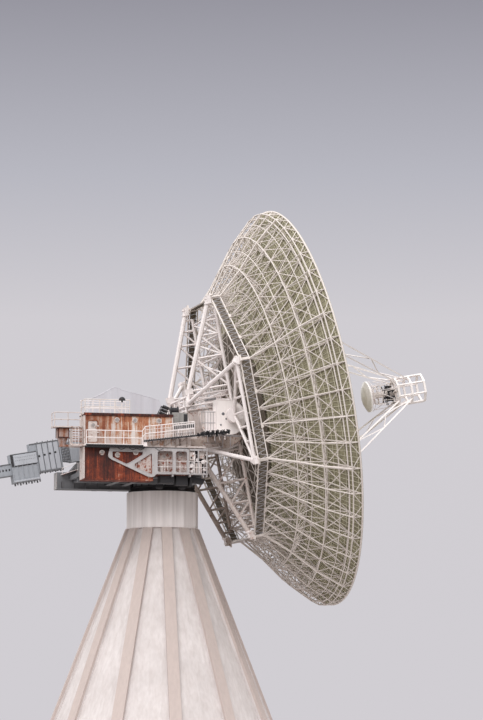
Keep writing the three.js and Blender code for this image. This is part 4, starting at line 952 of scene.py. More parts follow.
def lower_front():
    """Motors, pipes and casings that stand in the open front of the lower storey, with black boxes behind
    them as painted shadow in the recess.
    """
    casings = Piece("pump_casings", "platform", "grey_paint", RUST_STAINED_WHITE_AND_SHADE)
    walls = Piece("recess_linings", "platform", "white_paint", LINING)
    pipes = Piece("pump_pipes", "platform", "white_paint", WHITE, smooth=True)
    dark = Piece("machine_recess_painted_shadows_and_discs", "platform", "dark_steel", BLACK)
    rails = Piece("low_walkway_rails", "platform", "white_paint", WHITE)
    rng = random.Random(11)
    for side in SIDES:
        def y(distance):
            return side * distance
        walls.block(-2.12, 1.06, y(5.95), y(5.99), 26.12, 28.0)
        walls.plate([(-3.72, y(6.4), 26.7), (-3.66, y(6.4), 26.4), (-2.22, y(6.4), 25.86),
                     (-2.22, y(6.4), 27.66)], (0, y(0.015), 0))
        for x in (-1.6, -1.1, -0.1, 0.3):
            walls.block(x, x + 0.04, y(5.99), y(6.03), 26.14, 27.95)
        # Black boxes at the back of the recess: painted shadow.
        dark.block(1.1, 2.0, y(5.0), y(5.7), 26.22, 28.04)
        dark.block(0.62, 1.1, y(5.94), y(6.05), 26.5, 27.7)
        casings.block(1.25, 1.75, y(5.68), y(6.3), 26.09, 26.9)
        casings.block(0.72, 1.15, y(6.0), y(6.32), 27.1, 27.8)
        casings.block(1.45, 1.95, y(5.7), y(6.2), 27.25, 27.85)
        casings.block(-1.55, -1.3, y(5.98), y(6.2), 26.1, 26.65)
        casings.block(-1.0, -0.88, y(5.98), y(6.15), 26.1, 27.2)
        for x, z, r in ((0.95, 26.7, 0.16), (1.4, 27.15, 0.13), (1.85, 27.0, 0.16), (0.95, 26.25, 0.12),
                        (1.95, 26.4, 0.12)):
            pipes.turned((x, y(5.66), z), (0, side, 0),
                         [(0, r * 0.8), (0.54, r * 0.8), (0.56, r), (0.64, r), (0.66, r * 0.5)], 14)
        pipes.bars([[(0.7, y(6.1), 26.9), (1.2, y(6.1), 26.95), (1.3, y(6.1), 27.6), (1.9, y(6.1), 27.7)],
                    [(0.75, y(6.2), 26.05), (0.75, y(6.2), 28.06)],
                    [(1.15, y(6.3), 26.05), (1.15, y(6.3), 28.06)],
                    [(1.95, y(6.1), 26.05), (1.95, y(6.1), 28.06)],
                    [(-0.45, y(6.15), 26.05), (-0.4, y(6.15), 28.06)]],
                   0.09, 8)
        wheels, caps = [], []
        for _ in range(26):
            place = (0.8 + 1.3 * rng.random(), y(6.0 + 0.36 * rng.random()), 26.2 + 1.6 * rng.random())
            kind = wheels if rng.random() < 0.5 else caps
            kind.append((place, (0.3 * rng.random(), side, 0.3 * rng.random())))
        dark.studs(wheels, 0.09, 0.1, 8)
        pipes.studs(caps, 0.08, 0.12, 8)
        casings.bars([[(p[0], y(5.68), p[2]), p] for p, _ in wheels + caps], 0.05, 5)
        for z in (26.55, 27.0):
            rails.bars([[(-1.83, y(6.5), z), (2.12, y(6.5), z)]], 0.045)
        rails.bars([[(x, y(6.5), 26.08), (x, y(6.5), z)] for x, z in
                    ((-1.25, 27.0), (-0.05, 27.0), (1.0, 27.0), (1.5, 27.0))], 0.045)
    finish_pieces(casings, walls, pipes, dark, rails)


def underfloor():
    """Below the deck: beams, azimuth drives, and the girder's stiffeners and end plate."""
    beams = Piece("deck_cross_beams", "platform", "dark_steel", DARK)
    drives = Piece("azimuth_drives", "platform", "dark_steel", BLACK)
    half = 4.6
    for x in (-4.6, -3.3, 1.6):
        beams.block(x - 0.12, x + 0.12, -half, half, 25.5, 25.84)
        beams.block(x - 0.2, x + 0.2, -half, half, 25.44, 25.5)
    ends = Piece("girder_end_plate", "platform", "grey_paint", BRACKET)
    ends.block(-8.63, -8.6, -0.56, 0.56, 25.15, 26.45)
    for x in (-7.2, -6.0):
        beams.block(x - 0.1, x + 0.1, -4.6, -0.6, 25.62, 25.84)
    for side in SIDES:
        beams.block(-7.5 if side == NEAR else -5.0, 2.0, side * 3.1, side * 3.35, 25.46, 25.84)
        for x in (-8.3, -7.3, -6.3, -5.3, -4.3, -3.3):
            beams.block(x - 0.03, x + 0.03, side * 0.55, side * 0.7, 25.2, 25.82)
        beams.block(-8.58, -2.75, side * 0.5, side * 0.75, 25.145, 25.2)
        drives.block(-1.5, -0.35, side * 4.95, side * 5.9, 25.35, 26.3)
        drives.block(-0.2, 0.75, side * 4.9, side * 5.8, 25.2, 26.3)
        drives.block(0.9, 1.05, side * 4.9, side * 5.9, 25.1, 26.3)
        drives.plate([(1.1, side * 5.0, 25.9), (2.15, side * 5.0, 25.7), (1.95, side * 5.0, 25.3),
                      (1.0, side * 5.0, 25.5)], (0, side * 0.7, 0))
        for x in (-0.9, 0.9):
            drives.turned((x, side * 3.0, 25.1), UP, [(0, 0.2), (0.1, 0.3), (0.62, 0.3), (0.73, 0.22)], 16)
    drives.turned((0, 0, 25.02), UP, [
        (0, 2.62), (0.05, 2.64), (0.3, 2.53), (0.34, 2.58), (0.4, 2.58), (0.43, 2.52)], 48)
    for k in range(24):
        a = (k + 0.5) * math.pi / 12
        drives.bars([[(2.52 * math.cos(a), 2.52 * math.sin(a), z) for z in (25.4, 25.82)]], 0.1)
    finish_pieces(beams, drives, ends)


def roof_fittings():
    """Vent and winch drum, the slatted louvre, and the near roof's ladder and rails."""
    dark = Piece("roof_vent_and_winch", "platform", "dark_steel", BLACK, smooth=True)
    dark.turned((-4.63, -6.4, 31.49), UP, [
        (0, 0.06), (0.14, 0.07), (0.15, 0.25), (0.22, 0.26), (0.34, 0.2), (0.42, 0.08)], 20)
    dark.turned((-0.5, -5.0, 31.1), AHEAD, [
        (0, 0.2), (0.04, 0.32), (0.1, 0.32), (0.12, 0.22), (0.55, 0.22), (0.57, 0.32), (0.63, 0.32),
        (0.66, 0.1)], 20)
    blades = Piece("louvre_blades", "platform", "dark_steel", BLACK, replaces=("louvre_box",))
    for y in (-5.0, -5.75):
        blades.bars([[(-1.62, y, 30.6), (-1.2, y, 31.42), (-0.72, y, 31.22), (-0.82, y, 30.6)]], 0.06)
    for i in range(4):
        x, z = -1.2 - 0.13 * i, 31.38 - 0.22 * i
        blades.plate([(x, -5.0, z), (x + 0.5, -5.0, z - 0.18), (x + 0.48, -5.0, z - 0.28),
                      (x - 0.02, -5.0, z - 0.1)], (0, -0.75, 0))
    rails = Piece("roof_ladder_and_rails", "platform", "white_paint", WHITE)
    rails.bars([[(-4.63, -6.4, 30.62), (-4.63, -6.4, 31.52)]], 0.06)
    rails.bars([[(-5.1, y, 31.36), (-4.55, y, 30.62)] for y in (-5.65, -6.0)], 0.05)
    rails.bars([[(-5.06 + 0.1 * i, -5.65, 31.3 - 0.134 * i), (-5.06 + 0.1 * i, -6.0, 31.3 - 0.134 * i)]
                for i in range(6)], 0.035)
    for z in (30.98, 31.35):
        rails.bars([[(-7.53, -6.33, z), (-4.0, -6.33, z)], [(-7.53, -6.33, z), (-7.53, -4.77, z)]], 0.045)
    rails.bars([[(-7.3 + 0.44 * i, -6.33, 30.62), (-7.3 + 0.44 * i, -6.33, 31.7)] for i in range(8)], 0.04)
    rails.bars([[(-7.6, -4.77, 31.7), (-4.0, -4.77, 31.7)], [(-7.6, -4.77, 31.2), (-4.0, -4.77, 31.2)]], 0.06)
    rails.bars([[(-7.5 + 0.87 * i, -4.77, 30.6), (-7.5 + 0.87 * i, -4.77, 31.7)] for i in range(5)], 0.05)
    finish_pieces(dark, blades, rails)


def hood_seams():
    """Standing seams of the sheet hood, and the angles that close its edges."""
    piece = Piece("hood_seams", "platform", "grey_paint", GALVANISED)
    ridge = [(-4.9, 30.66), (-4.85, 32.9), (-4.15, 33.2), (-2.92, 33.88), (-1.9, 33.58), (-0.11, 33.16),
             (0.75, 32.88), (0.98, 32.2), (0.5, 31.2), (-0.55, 30.66)]

    def top_at(x):
        for (x0, z0), (x1, z1) in zip(ridge[1:6], ridge[2:7]):
            if x0 <= x <= x1:
                return z0 + (z1 - z0) * (x - x0) / (x1 - x0)
        return ridge[1][1]

    for y in (4.8, 6.3):
        piece.bars([[(x, y, z) for x, z in closed(ridge)]], 0.05)
    for i in range(10):
        x = -4.3 + 0.52 * i
        foot = 30.66
        if x > 0.5:
            foot = 31.2 + 1.0 * (x - 0.5) / 0.5
        elif x >= -0.55:
            foot = 30.66 + 0.54 * (x + 0.55) / 1.05
        piece.bars([[(x, 4.8, foot), (x, 4.8, top_at(x)), (x, 6.3, top_at(x)), (x, 6.3, foot)]], 0.025)
    piece.done()


def gangway_fittings():
    """Fine balusters on each ramp, the grilles in its railing, the torn dark fringe along its edge, and a
    dark strip under that edge as painted shadow.
    """
    balusters = Piece("gangway_balusters", "platform", "white_paint", WHITE)
    grille = Piece("gangway_grilles", "platform", "dark_steel", BLACK)
    stays = Piece("gangway_stays", "platform", "grey_paint", WHITE_PAINTED_SHADE)
    rng = random.Random(5)
    step_x, head_x = -3.05, 3.8

    def ramp_at(x):
        return 28.55 + (x - step_x) * 0.85 / 6.9

    for side in SIDES:
        y = side * 6.93
        for share, end in ((0.26, 1.0), (0.74, -0.66)):
            balusters.bars([[(step_x + 0.2, y, ramp_at(step_x + 0.2) + 1.04 * share),
                             (end, y, ramp_at(end) + 1.04 * share)]], 0.035)
        panel = rectangle(-0.68, 1.0, 0.5, 0.94)
        balusters.plate([(x, side * 6.9, ramp_at(x) + z) for x, z in panel], (0, side * 0.02, 0))
        xs = [step_x + 0.28 + 0.21 * i for i in range(18)]
        balusters.bars([[(x, y, ramp_at(x)), (x, y, ramp_at(x) + 1.0)] for x in xs], 0.035)
        balusters.bars([[(step_x + 0.16, y, ramp_at(step_x) + 1.05), (step_x - 0.12, y, 29.2)],
                        [(step_x + 0.16, y, ramp_at(step_x) + 0.5), (step_x - 0.12, y, 28.7)]], 0.06)
        for i in range(10):
            x = -0.61 + 0.163 * i
            low = ramp_at(x) + 0.58
            grille.block(x, x + 0.095, side * 6.92, side * 6.965, low, low + 0.27)
            grille.block(x + 0.02, x + 0.06, side * 6.92, side * 6.95, low - 0.5, low - 0.3)
        for i in range(30):
            x = step_x + 0.05 + 0.14 * i
            low = ramp_at(x) - 0.1
            tuft = [(x, side * 7.03, low + 0.12),
                    (x + 0.1 * rng.random(), side * 7.03, low - 0.12 * rng.random())]
            grille.bars([tuft], 0.06, 3)
        for i in range(110):
            x = 1.15 + 2.62 * rng.random()
            swell = min(1.0, 0.35 + (x - 1.15) / 0.9, 0.4 + (3.9 - x) / 0.8)
            top = ramp_at(x) + 0.22 * swell * rng.random()
            low = ramp_at(x) - 0.05 - 0.3 * swell * rng.random()
            lean = 0.3 * (rng.random() - 0.5)
            grille.bars([[(x, side * 7.04, low), (min(x + lean, 3.82), side * 7.04, top)]], 0.07, 3)
        # A dark strip just under the ramp's edge: painted shadow, carrying on the strips under the deck.
        strip = rectangle(step_x, head_x, -0.15, -0.03)
        grille.plate([(x, side * 7.0, ramp_at(x) + rise) for x, rise in strip], (0, side * 0.03, 0))
        balusters.bars([[(x, side * 6.94, ramp_at(x) - 0.1), (x + lean, side * 6.9, ramp_at(x) - 0.62)]
                        for x, lean in ((2.6, 0.02), (2.9, 0.16), (3.3, 0.2), (3.5, -0.1))], 0.04)
        stays.bars([[(x, side * 6.5, 28.12), (x, side * 6.5, ramp_at(x) - 0.14)]
                    for x in (-2.2, -1.3, -0.4, 0.5)], 0.09)
        stays.bars([[(x, side * 6.5, 28.12), (x + 0.9, side * 6.5, ramp_at(x + 0.9) - 0.14)]
                    for x in (-2.2, -1.3, -0.4)], 0.07)
    finish_pieces(balusters, grille, stays)


def drive_rooms():
    """Casings between the cabins' front walls and the bearings, and their seams."""
    pale = Piece("drive_casings", "platform", "white_paint", RUST_STAINED_WHITE_AND_SHADE)
    green = Piece("drive_gearboxes", "platform", "grey_paint", GEARBOX)
    gaps = Piece("drive_openings", "platform", "dark_steel", BLACK)
    seams = Piece("casing_seams", "platform", "white_paint", BRACKET)
    for side in SIDES:
        def y(distance):
            return side * distance
        curved = ((2.19, 29.24), (2.19, 31.05), (1.78, 31.05), (1.76, 30.7), (1.82, 30.2), (1.95, 29.75),
                  (2.14, 29.4))
        pale.plate([(x, y(4.74), z) for x, z in curved], (0, y(0.74), 0))
        pale.block(-0.5, 0.85, y(4.74), y(5.45), 28.86, 29.75)
        pale.block(0.85, 1.55, y(4.74), y(5.45), 28.8, 29.02)
        pale.block(-0.55, -0.1, y(5.5), y(6.35), 28.21, 29.1)
        pale.block(0.1, 0.9, y(5.55), y(6.2), 28.18, 28.95)
        green.block(-0.42, 0.86, y(4.78), y(5.3), 29.75, 30.92)
        green.block(-0.3, 0.05, y(5.0), y(5.42), 29.75, 30.5)
        green.block(0.2, 0.26, y(5.3), y(5.36), 29.8, 30.88)
        gaps.block(0.52, 0.8, y(5.26), y(5.33), 30.05, 30.8)
        gaps.block(-0.38, 0.84, y(5.26), y(5.34), 29.76, 29.84)
        seams.block(1.9, 1.93, y(5.48), y(5.54), 29.95, 31.03)
        for i in range(4):
            seams.block(2.16 + 0.22 * i, 2.19 + 0.22 * i, y(5.48), y(5.54), 29.4, 31.03)
        for x, z in ((2.2, 29.3), (1.86, 30.15), (1.82, 31.0)):
            seams.block(x, 3.0, y(5.47), y(5.53), z - 0.03, z + 0.03)
        for x in (-0.1, 0.3, 0.7):
            seams.block(x, x + 0.05, y(5.44), y(5.49), 28.9, 29.7)
        pipe = [(x, y(5.35), z) for x, z in ((2.1, 30.95), (2.1, 31.25), (2.5, 31.25), (2.5, 31.0))]
        green.bars([pipe], 0.08, 8)
    finish_pieces(pale, green, gaps, seams)


def bearing_fittings():
    """Fixed ring round each elevation bearing, hatches and edge angles of its housing, and ribs below it."""
    rings = Piece("bearing_rings", "platform", "white_paint", WHITE, smooth=True)
    hatches = Piece("bearing_hatches", "platform", "dark_steel", DARK, smooth=True)
    ribs = Piece("bearing_arm_ribs", "platform", "grey_paint", GREY)
    radius = 1.38
    for side in SIDES:
        face = side * 5.6
        ring, hole = [[(p.x, p.z) for p in ring_points((AXIS_X, face, AXIS_Z), r, 28)] for r in (0.42, 0.24)]
        rings.pierced_plate(ring, [hole], face - side * 0.01, face + side * 0.1)
        rings.studs([(p + Vector((0, side * 0.1, 0)), (0, side, 0))
                     for p in ring_points((AXIS_X, face, AXIS_Z), 0.33, 12)], 0.03, 0.05, 6)
        hatches.turned((AXIS_X, face, AXIS_Z), (0, side, 0), [(-0.01, 0.23), (0.03, 0.22), (0.05, 0.1)], 18)
        for x, z, r in ((3.6, 30.87, 0.12), (3.84, 30.48, 0.07), (3.42, 30.0, 0.07)):
            hatches.turned((x, face, z), (0, side, 0), [(-0.02, r), (0.02, r), (0.035, r * 0.8)], 14)
        edge = [(3.07, 29.27)]
        centre_x, centre_z = 5.45 - radius, 30.6
        for i in range(17):
            a = -math.pi / 2 + math.pi * i / 16
            edge.append((centre_x + (radius - 0.04) * math.cos(a), centre_z + (radius - 0.04) * math.sin(a)))
        edge.append((3.07, 31.94))
        rings.bars([[(x, face, z) for x, z in closed(edge)]], 0.06)
        for x in (2.4, 3.0, 3.6, 4.2):
            low = 28.62 if x < 3.5 else 28.28
            ribs.block(x - 0.03, x + 0.03, side * 4.72, side * 5.53, low, 29.2)
        ribs.block(1.75, 5.2, side * 5.45, side * 5.54, 29.12, 29.2)
    finish_pieces(rings, hatches, ribs)


def balcony_fittings():
    """Slatted guard of the rear balcony, the seams of the small cabin, and the stepped walkway below."""
    slats = Piece("balcony_slats", "platform", "rusty_paint", RUSTY)
    rails = Piece("rear_rails", "platform", "white_paint", WHITE)
    trim = Piece("rear_cabin_trim", "platform", "dark_rust", DEEP_RUST)
    for i in range(6):
        z = 28.36 + 0.185 * i
        slats.block(-8.52, -7.74, -6.3, -6.24, z, z + 0.1)
    rails.bars([[(x, -6.36, 28.2), (x, -6.36, 29.5)] for x in (-8.3, -8.05)], 0.045)
    for x in (-9.52, -8.69):
        for y in (-5.69, -4.79):
            trim.block(x - 0.01, x + 0.06, y - 0.03, y + 0.05, 28.72, 29.48)
    trim.block(-9.53, -8.62, -5.72, -4.74, 29.42, 29.49)
    trim.block(-9.53, -8.62, -5.72, -5.68, 28.7, 28.78)
    for i in range(4):
        x, z = -8.25 + 0.3 * i, 26.28 + 0.1 * i
        trim.block(x, x + 0.28, -1.2, -0.55, z, z + 0.05)
    rails.bars([[(-8.3, y, 26.25), (-7.05, y, 26.66), (-7.05, y, 26.25)] for y in (-1.22, -0.6)], 0.06)
    guard = [(x, -1.22, z) for x, z in ((-8.3, 26.25), (-8.3, 26.75), (-7.05, 27.16), (-7.05, 26.66))]
    rails.bars([guard], 0.05)
    rails.bars([[(x, y, z) for y in (-0.5, -1.22)] for x, z in ((-8.3, 26.25), (-7.05, 26.66))], 0.06)
    finish_pieces(slats, rails, trim)


def tail_fittings():
    """Ribs, edge angles, bolt rows, holes and lifting lugs of the tail's boxes."""
    ribs = Piece("tail_ribs", "platform", "grey_paint", TAIL_GREY, TAIL)
    holes = Piece("tail_holes", "platform", "dark_steel", BLACK, TAIL)
    lips = Piece("tail_edge_angles", "platform", "dark_steel", DARK, TAIL)
    covers = Piece("tail_cover_plates", "platform", "grey_paint", COVER, TAIL)
    dots = []
    for side in SIDES:
        outer, inner, beam, root = side * 0.62, side * 0.5, side * 0.3, side * 0.5
        for i in range(6):
            u = -5.44 + 0.39 * i
            ribs.block(u, u + 0.05, outer, outer + side * 0.05, -1.6, -0.35)
        covers.block(-5.26, -3.42, outer, outer + side * 0.09, -0.32, 0.5)
        covers.block(-5.5, -3.38, outer, outer + side * 0.07, -1.6, -1.46)
        holes.block(-5.5, -5.3, outer, outer + side * 0.03, -0.42, 0.56)
        holes.block(-5.26, -3.42, outer, outer + side * 0.04, -0.4, -0.32)
        dots += [((-5.12 + 0.14 * i, outer + side * 0.09, w), (0, side, 0))
                 for i in range(12) for w in (0.3, 0.06)]
        lips.block(-5.5, -3.4, outer, outer + side * 0.05, 0.56, 0.62)
        lips.block(-5.5, -3.4, outer, outer + side * 0.05, -1.66, -1.58)
        for i in range(5):
            u = -3.3 + 0.44 * i
            lips.block(u, u + 0.03, inner, inner + side * 0.04, -1.08, 1.18)
            if i < 4:
                covers.block(u + 0.05, u + 0.4, inner, inner + side * 0.03, -1.0, 1.1)
        lips.block(-3.84, -1.4, inner, inner + side * 0.05, 1.14, 1.22)
        lips.block(-3.36, -1.4, inner, inner + side * 0.05, -1.14, -1.04)
        for u, w in ((-3.18, 0.16), (-2.74, 0.2), (-2.3, 0.24), (-1.86, 0.28)):
            holes.turned((u, inner, w), (0, side, 0), [(0.0, 0.085), (0.045, 0.085), (0.055, 0.06)], 12)
        for i in range(9):
            u = -7.8 + 0.26 * i
            holes.block(u, u + 0.12, beam, beam + side * 0.012, -0.62, -0.46)
        lips.block(-7.96, -5.52, beam, beam + side * 0.06, -0.14, -0.06)
        lips.block(-7.96, -5.52, beam, beam + side * 0.06, -1.06, -0.98)
        for i in range(6):
            w = -0.46 + 0.21 * i
            back, front = root + side * 0.03, root + side * 0.06
            lips.plate([(-1.36, back, w * 0.9), (-0.74, front, w * 1.15 + 0.1),
                        (-0.74, front, w * 1.15 + 0.19), (-1.36, back, w * 0.9 + 0.07)], (0, -side * 0.06, 0))
        ribs.block(-0.1, -0.05, side * 0.55, side * 0.58, -0.66, 0.92)
        ribs.block(0.45, 0.5, side * 0.55, side * 0.58, -0.66, 0.92)
    for i in range(5):
        u = -5.3 + 0.45 * i
        for side in SIDES:
            lips.block(u, u + 0.12, side * 0.5, side * 0.6, -1.84, -1.62)
    for i in range(5):
        u = -3.2 + 0.42 * i
        for side in SIDES:
            lips.block(u, u + 0.1, side * 0.38, side * 0.48, -1.22, -1.1)
            lips.block(u, u + 0.08, side * 0.38, side * 0.48, 1.2, 1.3)
    holes.studs(dots, 0.024, 0.02, 6)
    lips.block(-7.99, -7.9, -0.36, 0.36, -1.1, 0.0)
    finish_pieces(ribs, holes, lips, covers)


def frame_joints():
    """Flanged nodes where the tubes of the frames meet, each with its ring of bolts."""
    piece = Piece("frame_joints", "dish", "white_paint", WHITE, DISH, smooth=True)
    bolts = []
    places = []
    for side in SIDES:
        places += [((0.1, side * 3.94, 9.3 * up), (0.2, 0, up)) for up in (1, -1)]
        places += [((0.1, side * 9.45, 3.9 * up), (0, side, 0.3 * up)) for up in (1, -1)]
    radius = 0.3
    for centre, axis in places:
        axis = Vector(axis).normalized()
        piece.turned(Vector(centre) - axis * 0.26, axis, [
            (0, radius * 0.7), (0.02, radius), (0.1, radius), (0.12, radius * 0.76), (0.4, radius * 0.76),
            (0.42, radius), (0.5, radius), (0.52, radius * 0.7)], 16)
        for end in (-0.26, 0.26):
            bolts += [(p, axis) for p in ring_points(Vector(centre) + axis * end, radius * 0.86, 10, axis)]
    piece.studs(bolts, 0.03, 0.08, 6)
    piece.done()


def cradle():
    """Open cradle under the frames: braced sides, sheeted counterweight, ladders, cross tube, trunnions."""
    frame_bars = Piece("cradle_frame", "dish", "white_paint", WHITE, DISH, ("cradle",))
    sheets = Piece("cradle_sheets", "dish", "white_paint", RUST_STAINED_WHITE_AND_SHADE, DISH)
    slots = Piece("cradle_slots", "dish", "dark_steel", DARK, DISH)
    back, front = -3.05, 0.72
    low, sill, head = -2.18, 1.05, 2.18
    for side in SIDES:
        y = side * 3.33
        frame_bars.bars([[(-2.6, y, 2.5), (-2.88, side * 3.4, 1.35)],
                         [(-2.6, y, -2.5), (-2.72, side * 3.4, -1.6)]], 0.36, 8)
        frame_bars.bars([[(back, y, low), (front, y, low), (front, y, head), (-2.6, y, head)],
                         [(back, y, low), (back, y, sill), (-2.62, y, head)]], 0.24, 6)
        frame_bars.bars([[(back, y, sill + 0.35), (front, y, sill + 0.35)]], 0.17, 6)
        fan = [[(-2.5, y, head - 0.1), (x, y, sill + 0.4)] for x in (-2.1, -1.65, -1.15, -0.6, 0.0, 0.6)]
        fan += zigzag((-1.6, y, head), (0.6, y, head), (-1.6, y, sill + 0.35), (0.6, y, sill + 0.35), 5)
        frame_bars.bars(fan, 0.075)
        window = [(-1.15, -1.75), (0.25, -1.75), (0.25, -1.0), (-1.15, -0.8)]
        wall = rectangle(back, front, low, sill)
        sheets.pierced_plate(wall, [rounded(window, 0.15)], side * 3.2, side * 3.34)
        for x in (-2.55, -2.0, -1.45, -0.9, -0.35, 0.2):
            sheets.block(x - 0.025, x + 0.025, side * 3.34, side * 3.4, -0.7, sill - 0.05)
        sheets.block(back, front, side * 3.34, side * 3.44, sill - 0.06, sill + 0.03)
        for i in range(9):
            x = -1.42 + 0.105 * i
            slots.block(x, x + 0.045, side * 3.3, side * 3.45, sill + 0.53, sill + 0.7)
        frame_bars.bars([[(-1.6, y, sill + edge), (front, y, sill + edge)] for edge in (0.46, 0.77)], 0.09, 6)
        frame_bars.turned((0, side * 3.3, 0), (0, side, 0), [
            (0, 0.95), (0.1, 0.95), (0.12, 0.66), (0.4, 0.66), (0.42, 0.4), (2.68, 0.4), (2.7, 0.37)], 28)
        bolts = [(p, (0, side, 0)) for p in ring_points((0, side * 3.41, 0), 0.82, 16)]
        frame_bars.studs(bolts, 0.04, 0.06, 6)
        ladder = side * 1.7
        frame_bars.bars([[(back - 0.04, ladder + shift, low + 0.2), (back - 0.04, ladder + shift, head)]
                         for shift in (-0.22, 0.22)], 0.05)
        frame_bars.bars([[(back - 0.04, ladder + shift, low + 0.3 * i) for shift in (-0.22, 0.22)]
                         for i in range(1, 15)], 0.04)
        for i in range(4):
            slots.block(back - 0.03, back + 0.02, side * (2.35 + 0.04 * i), side * (2.75 + 0.04 * i),
                        0.1 + 0.42 * i, 0.24 + 0.42 * i)
    for x, z in ((back, low), (back, sill), (-2.62, head), (front - 0.1, head), (front - 0.1, low),
                 (back, sill + 0.35)):
        frame_bars.bars([[(x, -3.33, z), (x, 3.33, z)]], 0.22, 6)
    rear = [[(back, -3.33, sill), (back, 0, low)], [(back, 3.33, sill), (back, 0, low)]]
    rear += zigzag((-2.62, -3.33, head), (-2.62, 3.33, head), (back, -3.33, sill), (back, 3.33, sill), 8)
    frame_bars.bars(rear, 0.09)
    sheets.block(back + 0.1, -1.6, -3.2, 3.2, -1.7, sill - 0.1)
    sheets.block(0.02, 0.78, -1.2, 1.2, -1.2, 1.2)
    frame_bars.bars([[(0.4, -3.3, 0), (0.4, 3.3, 0)]], 0.5, 12)
    sheets.block(0.42, 0.78, -3.2, 3.2, 1.85, 2.08)
    sheets.block(0.42, 0.78, -3.2, 3.2, -2.08, -1.85)
    for y in (-2.4, -1.6, -0.8, 0.0, 0.8, 1.6, 2.4):
        sheets.block(back + 0.06, back + 0.1, y - 0.03, y + 0.03, -1.68, sill - 0.12)
    finish_pieces(frame_bars, sheets, slots)


def focus_fittings():
    """Adjusting gear behind the secondary mirror: rings on rods, dark spindles and a flange."""
    rings = Piece("focus_rings", "dish", "white_paint", LATTICE, DISH, ("focus_mechanism",))
    spindles = Piece("focus_spindles", "dish", "dark_steel", BLACK, DISH)
    rng = random.Random(3)
    for x, radius in ((13.12, 0.62), (13.45, 0.72), (13.78, 0.78), (14.98, 0.85)):
        ring = ring_points((x, 0, 0), radius, 24, AHEAD)
        rings.bars([closed(ring)], 0.075)
    rods = []
    for count, *ends in ((12, (13.0, 0.6), (13.78, 0.78)), (6, (13.78, 0.7), (15.0, 0.85))):
        low, high = [ring_points((x, 0, 0), radius, count, AHEAD) for x, radius in ends]
        rods += [[a, b] for a, b in zip(low, high)]
    rods += [[(15.0, -0.85, 0), (15.0, 0.85, 0)], [(15.0, 0, -0.85), (15.0, 0, 0.85)]]
    rings.bars(rods, 0.05)
    rings.turned((12.96, 0, 0), AHEAD, [(0, 0.36), (0.3, 0.36), (0.34, 0.24), (2.0, 0.24), (2.04, 0.2)], 16)
    for i in range(26):
        angle = 2 * math.pi * rng.random()
        x = 14.05 + 0.85 * rng.random()
        start, end = 0.2 + 0.02 * rng.random(), 0.5 + 0.45 * rng.random()
        spindle = [dish_point(start, x, angle), dish_point(end, x + 0.3 * (rng.random() - 0.5), angle + 0.2)]
        spindles.bars([spindle], 0.05 + 0.05 * rng.random(), 5)
    spindles.turned((14.4, 0, 0), AHEAD, [(0, 0.6), (0.05, 0.6)], 16)
    for i in range(6):
        angle = (i + 0.3) * math.pi / 3
        spindles.turned(dish_point(0.55, 14.3, angle), AHEAD,
                        [(0, 0.06), (0.04, 0.1), (0.5, 0.1), (0.54, 0.05)], 10)
    finish_pieces(rings, spindles)


def mirror_fittings():
    """Rings and ribs on the back of the secondary mirror, and the thin rods that hold it to the cage."""
    piece = Piece("secondary_mirror_ribs", "dish", "white_paint", WHITE, DISH)
    for radius, x in ((0.45, 12.98), (0.85, 12.97), (1.2, 13.0)):
        ring = ring_points((x, 0, 0), radius, 32, AHEAD)
        piece.bars([closed(ring)], 0.045)
    rim = ring_points((13.0, 0, 0), 1.2, 12, AHEAD)
    hub = ring_points((12.98, 0, 0), 0.2, 12, AHEAD)
    piece.bars([[a, b] for a, b in zip(rim, hub)], 0.04)
    cage = ring_points((15.1, 0, 0), 1.1, 6, AHEAD)
    rods = ring_points((13.25, 0, 0), 1.15, 6, AHEAD)
    piece.bars([[rods[i], cage[(i + turn) % 6]] for turn in (0, 1) for i in range(6)], 0.05)
    piece.done()


portholes()
cabin_doors()
cabin_skins()
bracket_plates()
lower_front()
underfloor()
roof_fittings()
hood_seams()
gangway_fittings()
drive_rooms()
bearing_fittings()
balcony_fittings()
tail_fittings()
cradle()
frame_joints()
focus_fittings()
mirror_fittings()


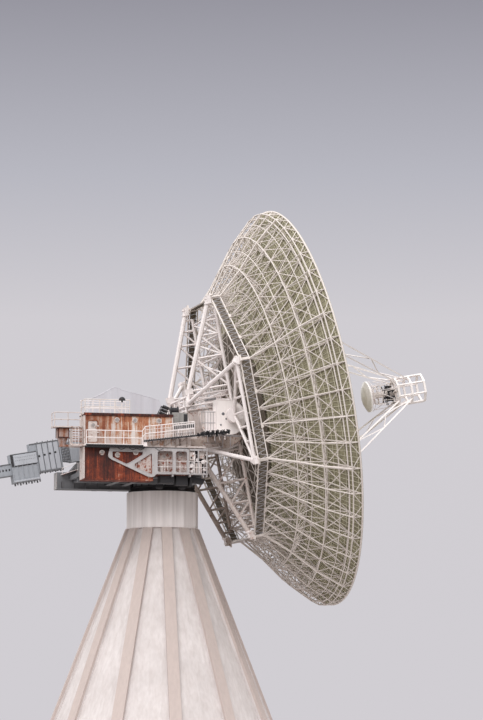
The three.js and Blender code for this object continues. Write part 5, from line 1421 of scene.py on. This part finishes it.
def surroundings():
    """Camera, pale floor, overcast sky and soft sun."""
    scene = bpy.context.scene
    camera = bpy.data.cameras.new("camera")
    camera.sensor_fit = "VERTICAL"
    camera.sensor_width = SENSOR_MM
    camera.sensor_height = SENSOR_MM
    camera.lens = FOCAL_LENGTH_PX * SENSOR_MM / PHOTO_HEIGHT_PX
    camera.clip_end = CAMERA_REACH
    holder = bpy.data.objects.new("camera", camera)
    level = math.cos(CAMERA_PITCH)
    aim = Vector((math.sin(CAMERA_YAW) * level, math.cos(CAMERA_YAW) * level, math.sin(CAMERA_PITCH)))
    holder.location = CAMERA_PLACE
    holder.rotation_euler = aim.to_track_quat("-Z", "Y").to_euler()
    scene.collection.objects.link(holder)
    scene.camera = holder

    mesh = bpy.data.meshes.new("floor")
    corners = rectangle(-FLOOR_HALF, FLOOR_HALF, -FLOOR_HALF, FLOOR_HALF)
    mesh.from_pydata([(x, y, FLOOR_LEVEL) for x, y in corners], [], [(0, 1, 2, 3)])
    pale = new_finish("pale_floor", 0.9)[0]
    pale.node_tree.nodes["Principled BSDF"].inputs["Base Color"].default_value = colour("#b9b5b4")
    mesh.materials.append(pale)
    ground = bpy.data.objects.new("floor", mesh)
    scene.collection.objects.link(ground)

    world = bpy.data.worlds.new("overcast")
    scene.world = world
    world.use_nodes = True
    tree = world.node_tree
    tree.nodes.clear()
    direction = add_node(tree, "ShaderNodeTexCoord").outputs["Generated"]
    height = add_node(tree, "ShaderNodeSeparateXYZ", {0: direction}).outputs[2]
    sky = add_node(tree, "ShaderNodeValToRGB", {0: remap(tree, height, 0.02, 0.21)})
    set_bands(sky, [(position, colour(hexed)) for position, hexed in (
        (0.0, "#d1ced3"), (0.55, "#d0cdd2"), (0.75, "#b8b8c1"), (1.0, "#96959f"))])
    seen = add_node(tree, "ShaderNodeLightPath").outputs["Is Camera Ray"]
    glow = add_node(tree, "ShaderNodeValToRGB", {0: remap(tree, height, -0.05, 1.0)})
    levels = [(position, (level, level, level * 1.01, 1))
              for position, level in ((0.04, 0.16), (0.08, 0.62), (0.3, 0.82), (0.6, 1.0))]
    set_bands(glow, [(0.0, (0.16, 0.14, 0.13, 1)), *levels, (1.0, (1.14, 1.15, 1.16, 1))])
    dome = add_node(tree, "ShaderNodeBackground", {
        "Color": mixed(tree, seen, glow.outputs[0], sky.outputs[0]),
        "Strength": remap(tree, seen, to_low=DOME_POWER, to_high=1.0)}).outputs[0]
    tree.links.new(dome, add_node(tree, "ShaderNodeOutputWorld").inputs[0])

    sun = bpy.data.lights.new("soft_sun", "SUN")
    sun.energy = SUN_POWER
    sun.angle = SUN_SPREAD
    lamp = bpy.data.objects.new("soft_sun", sun)
    lamp.rotation_euler = Vector(SUN_AIM).to_track_quat("-Z", "Y").to_euler()
    scene.collection.objects.link(lamp)
    scene.view_settings.view_transform = "Standard"


surroundings()
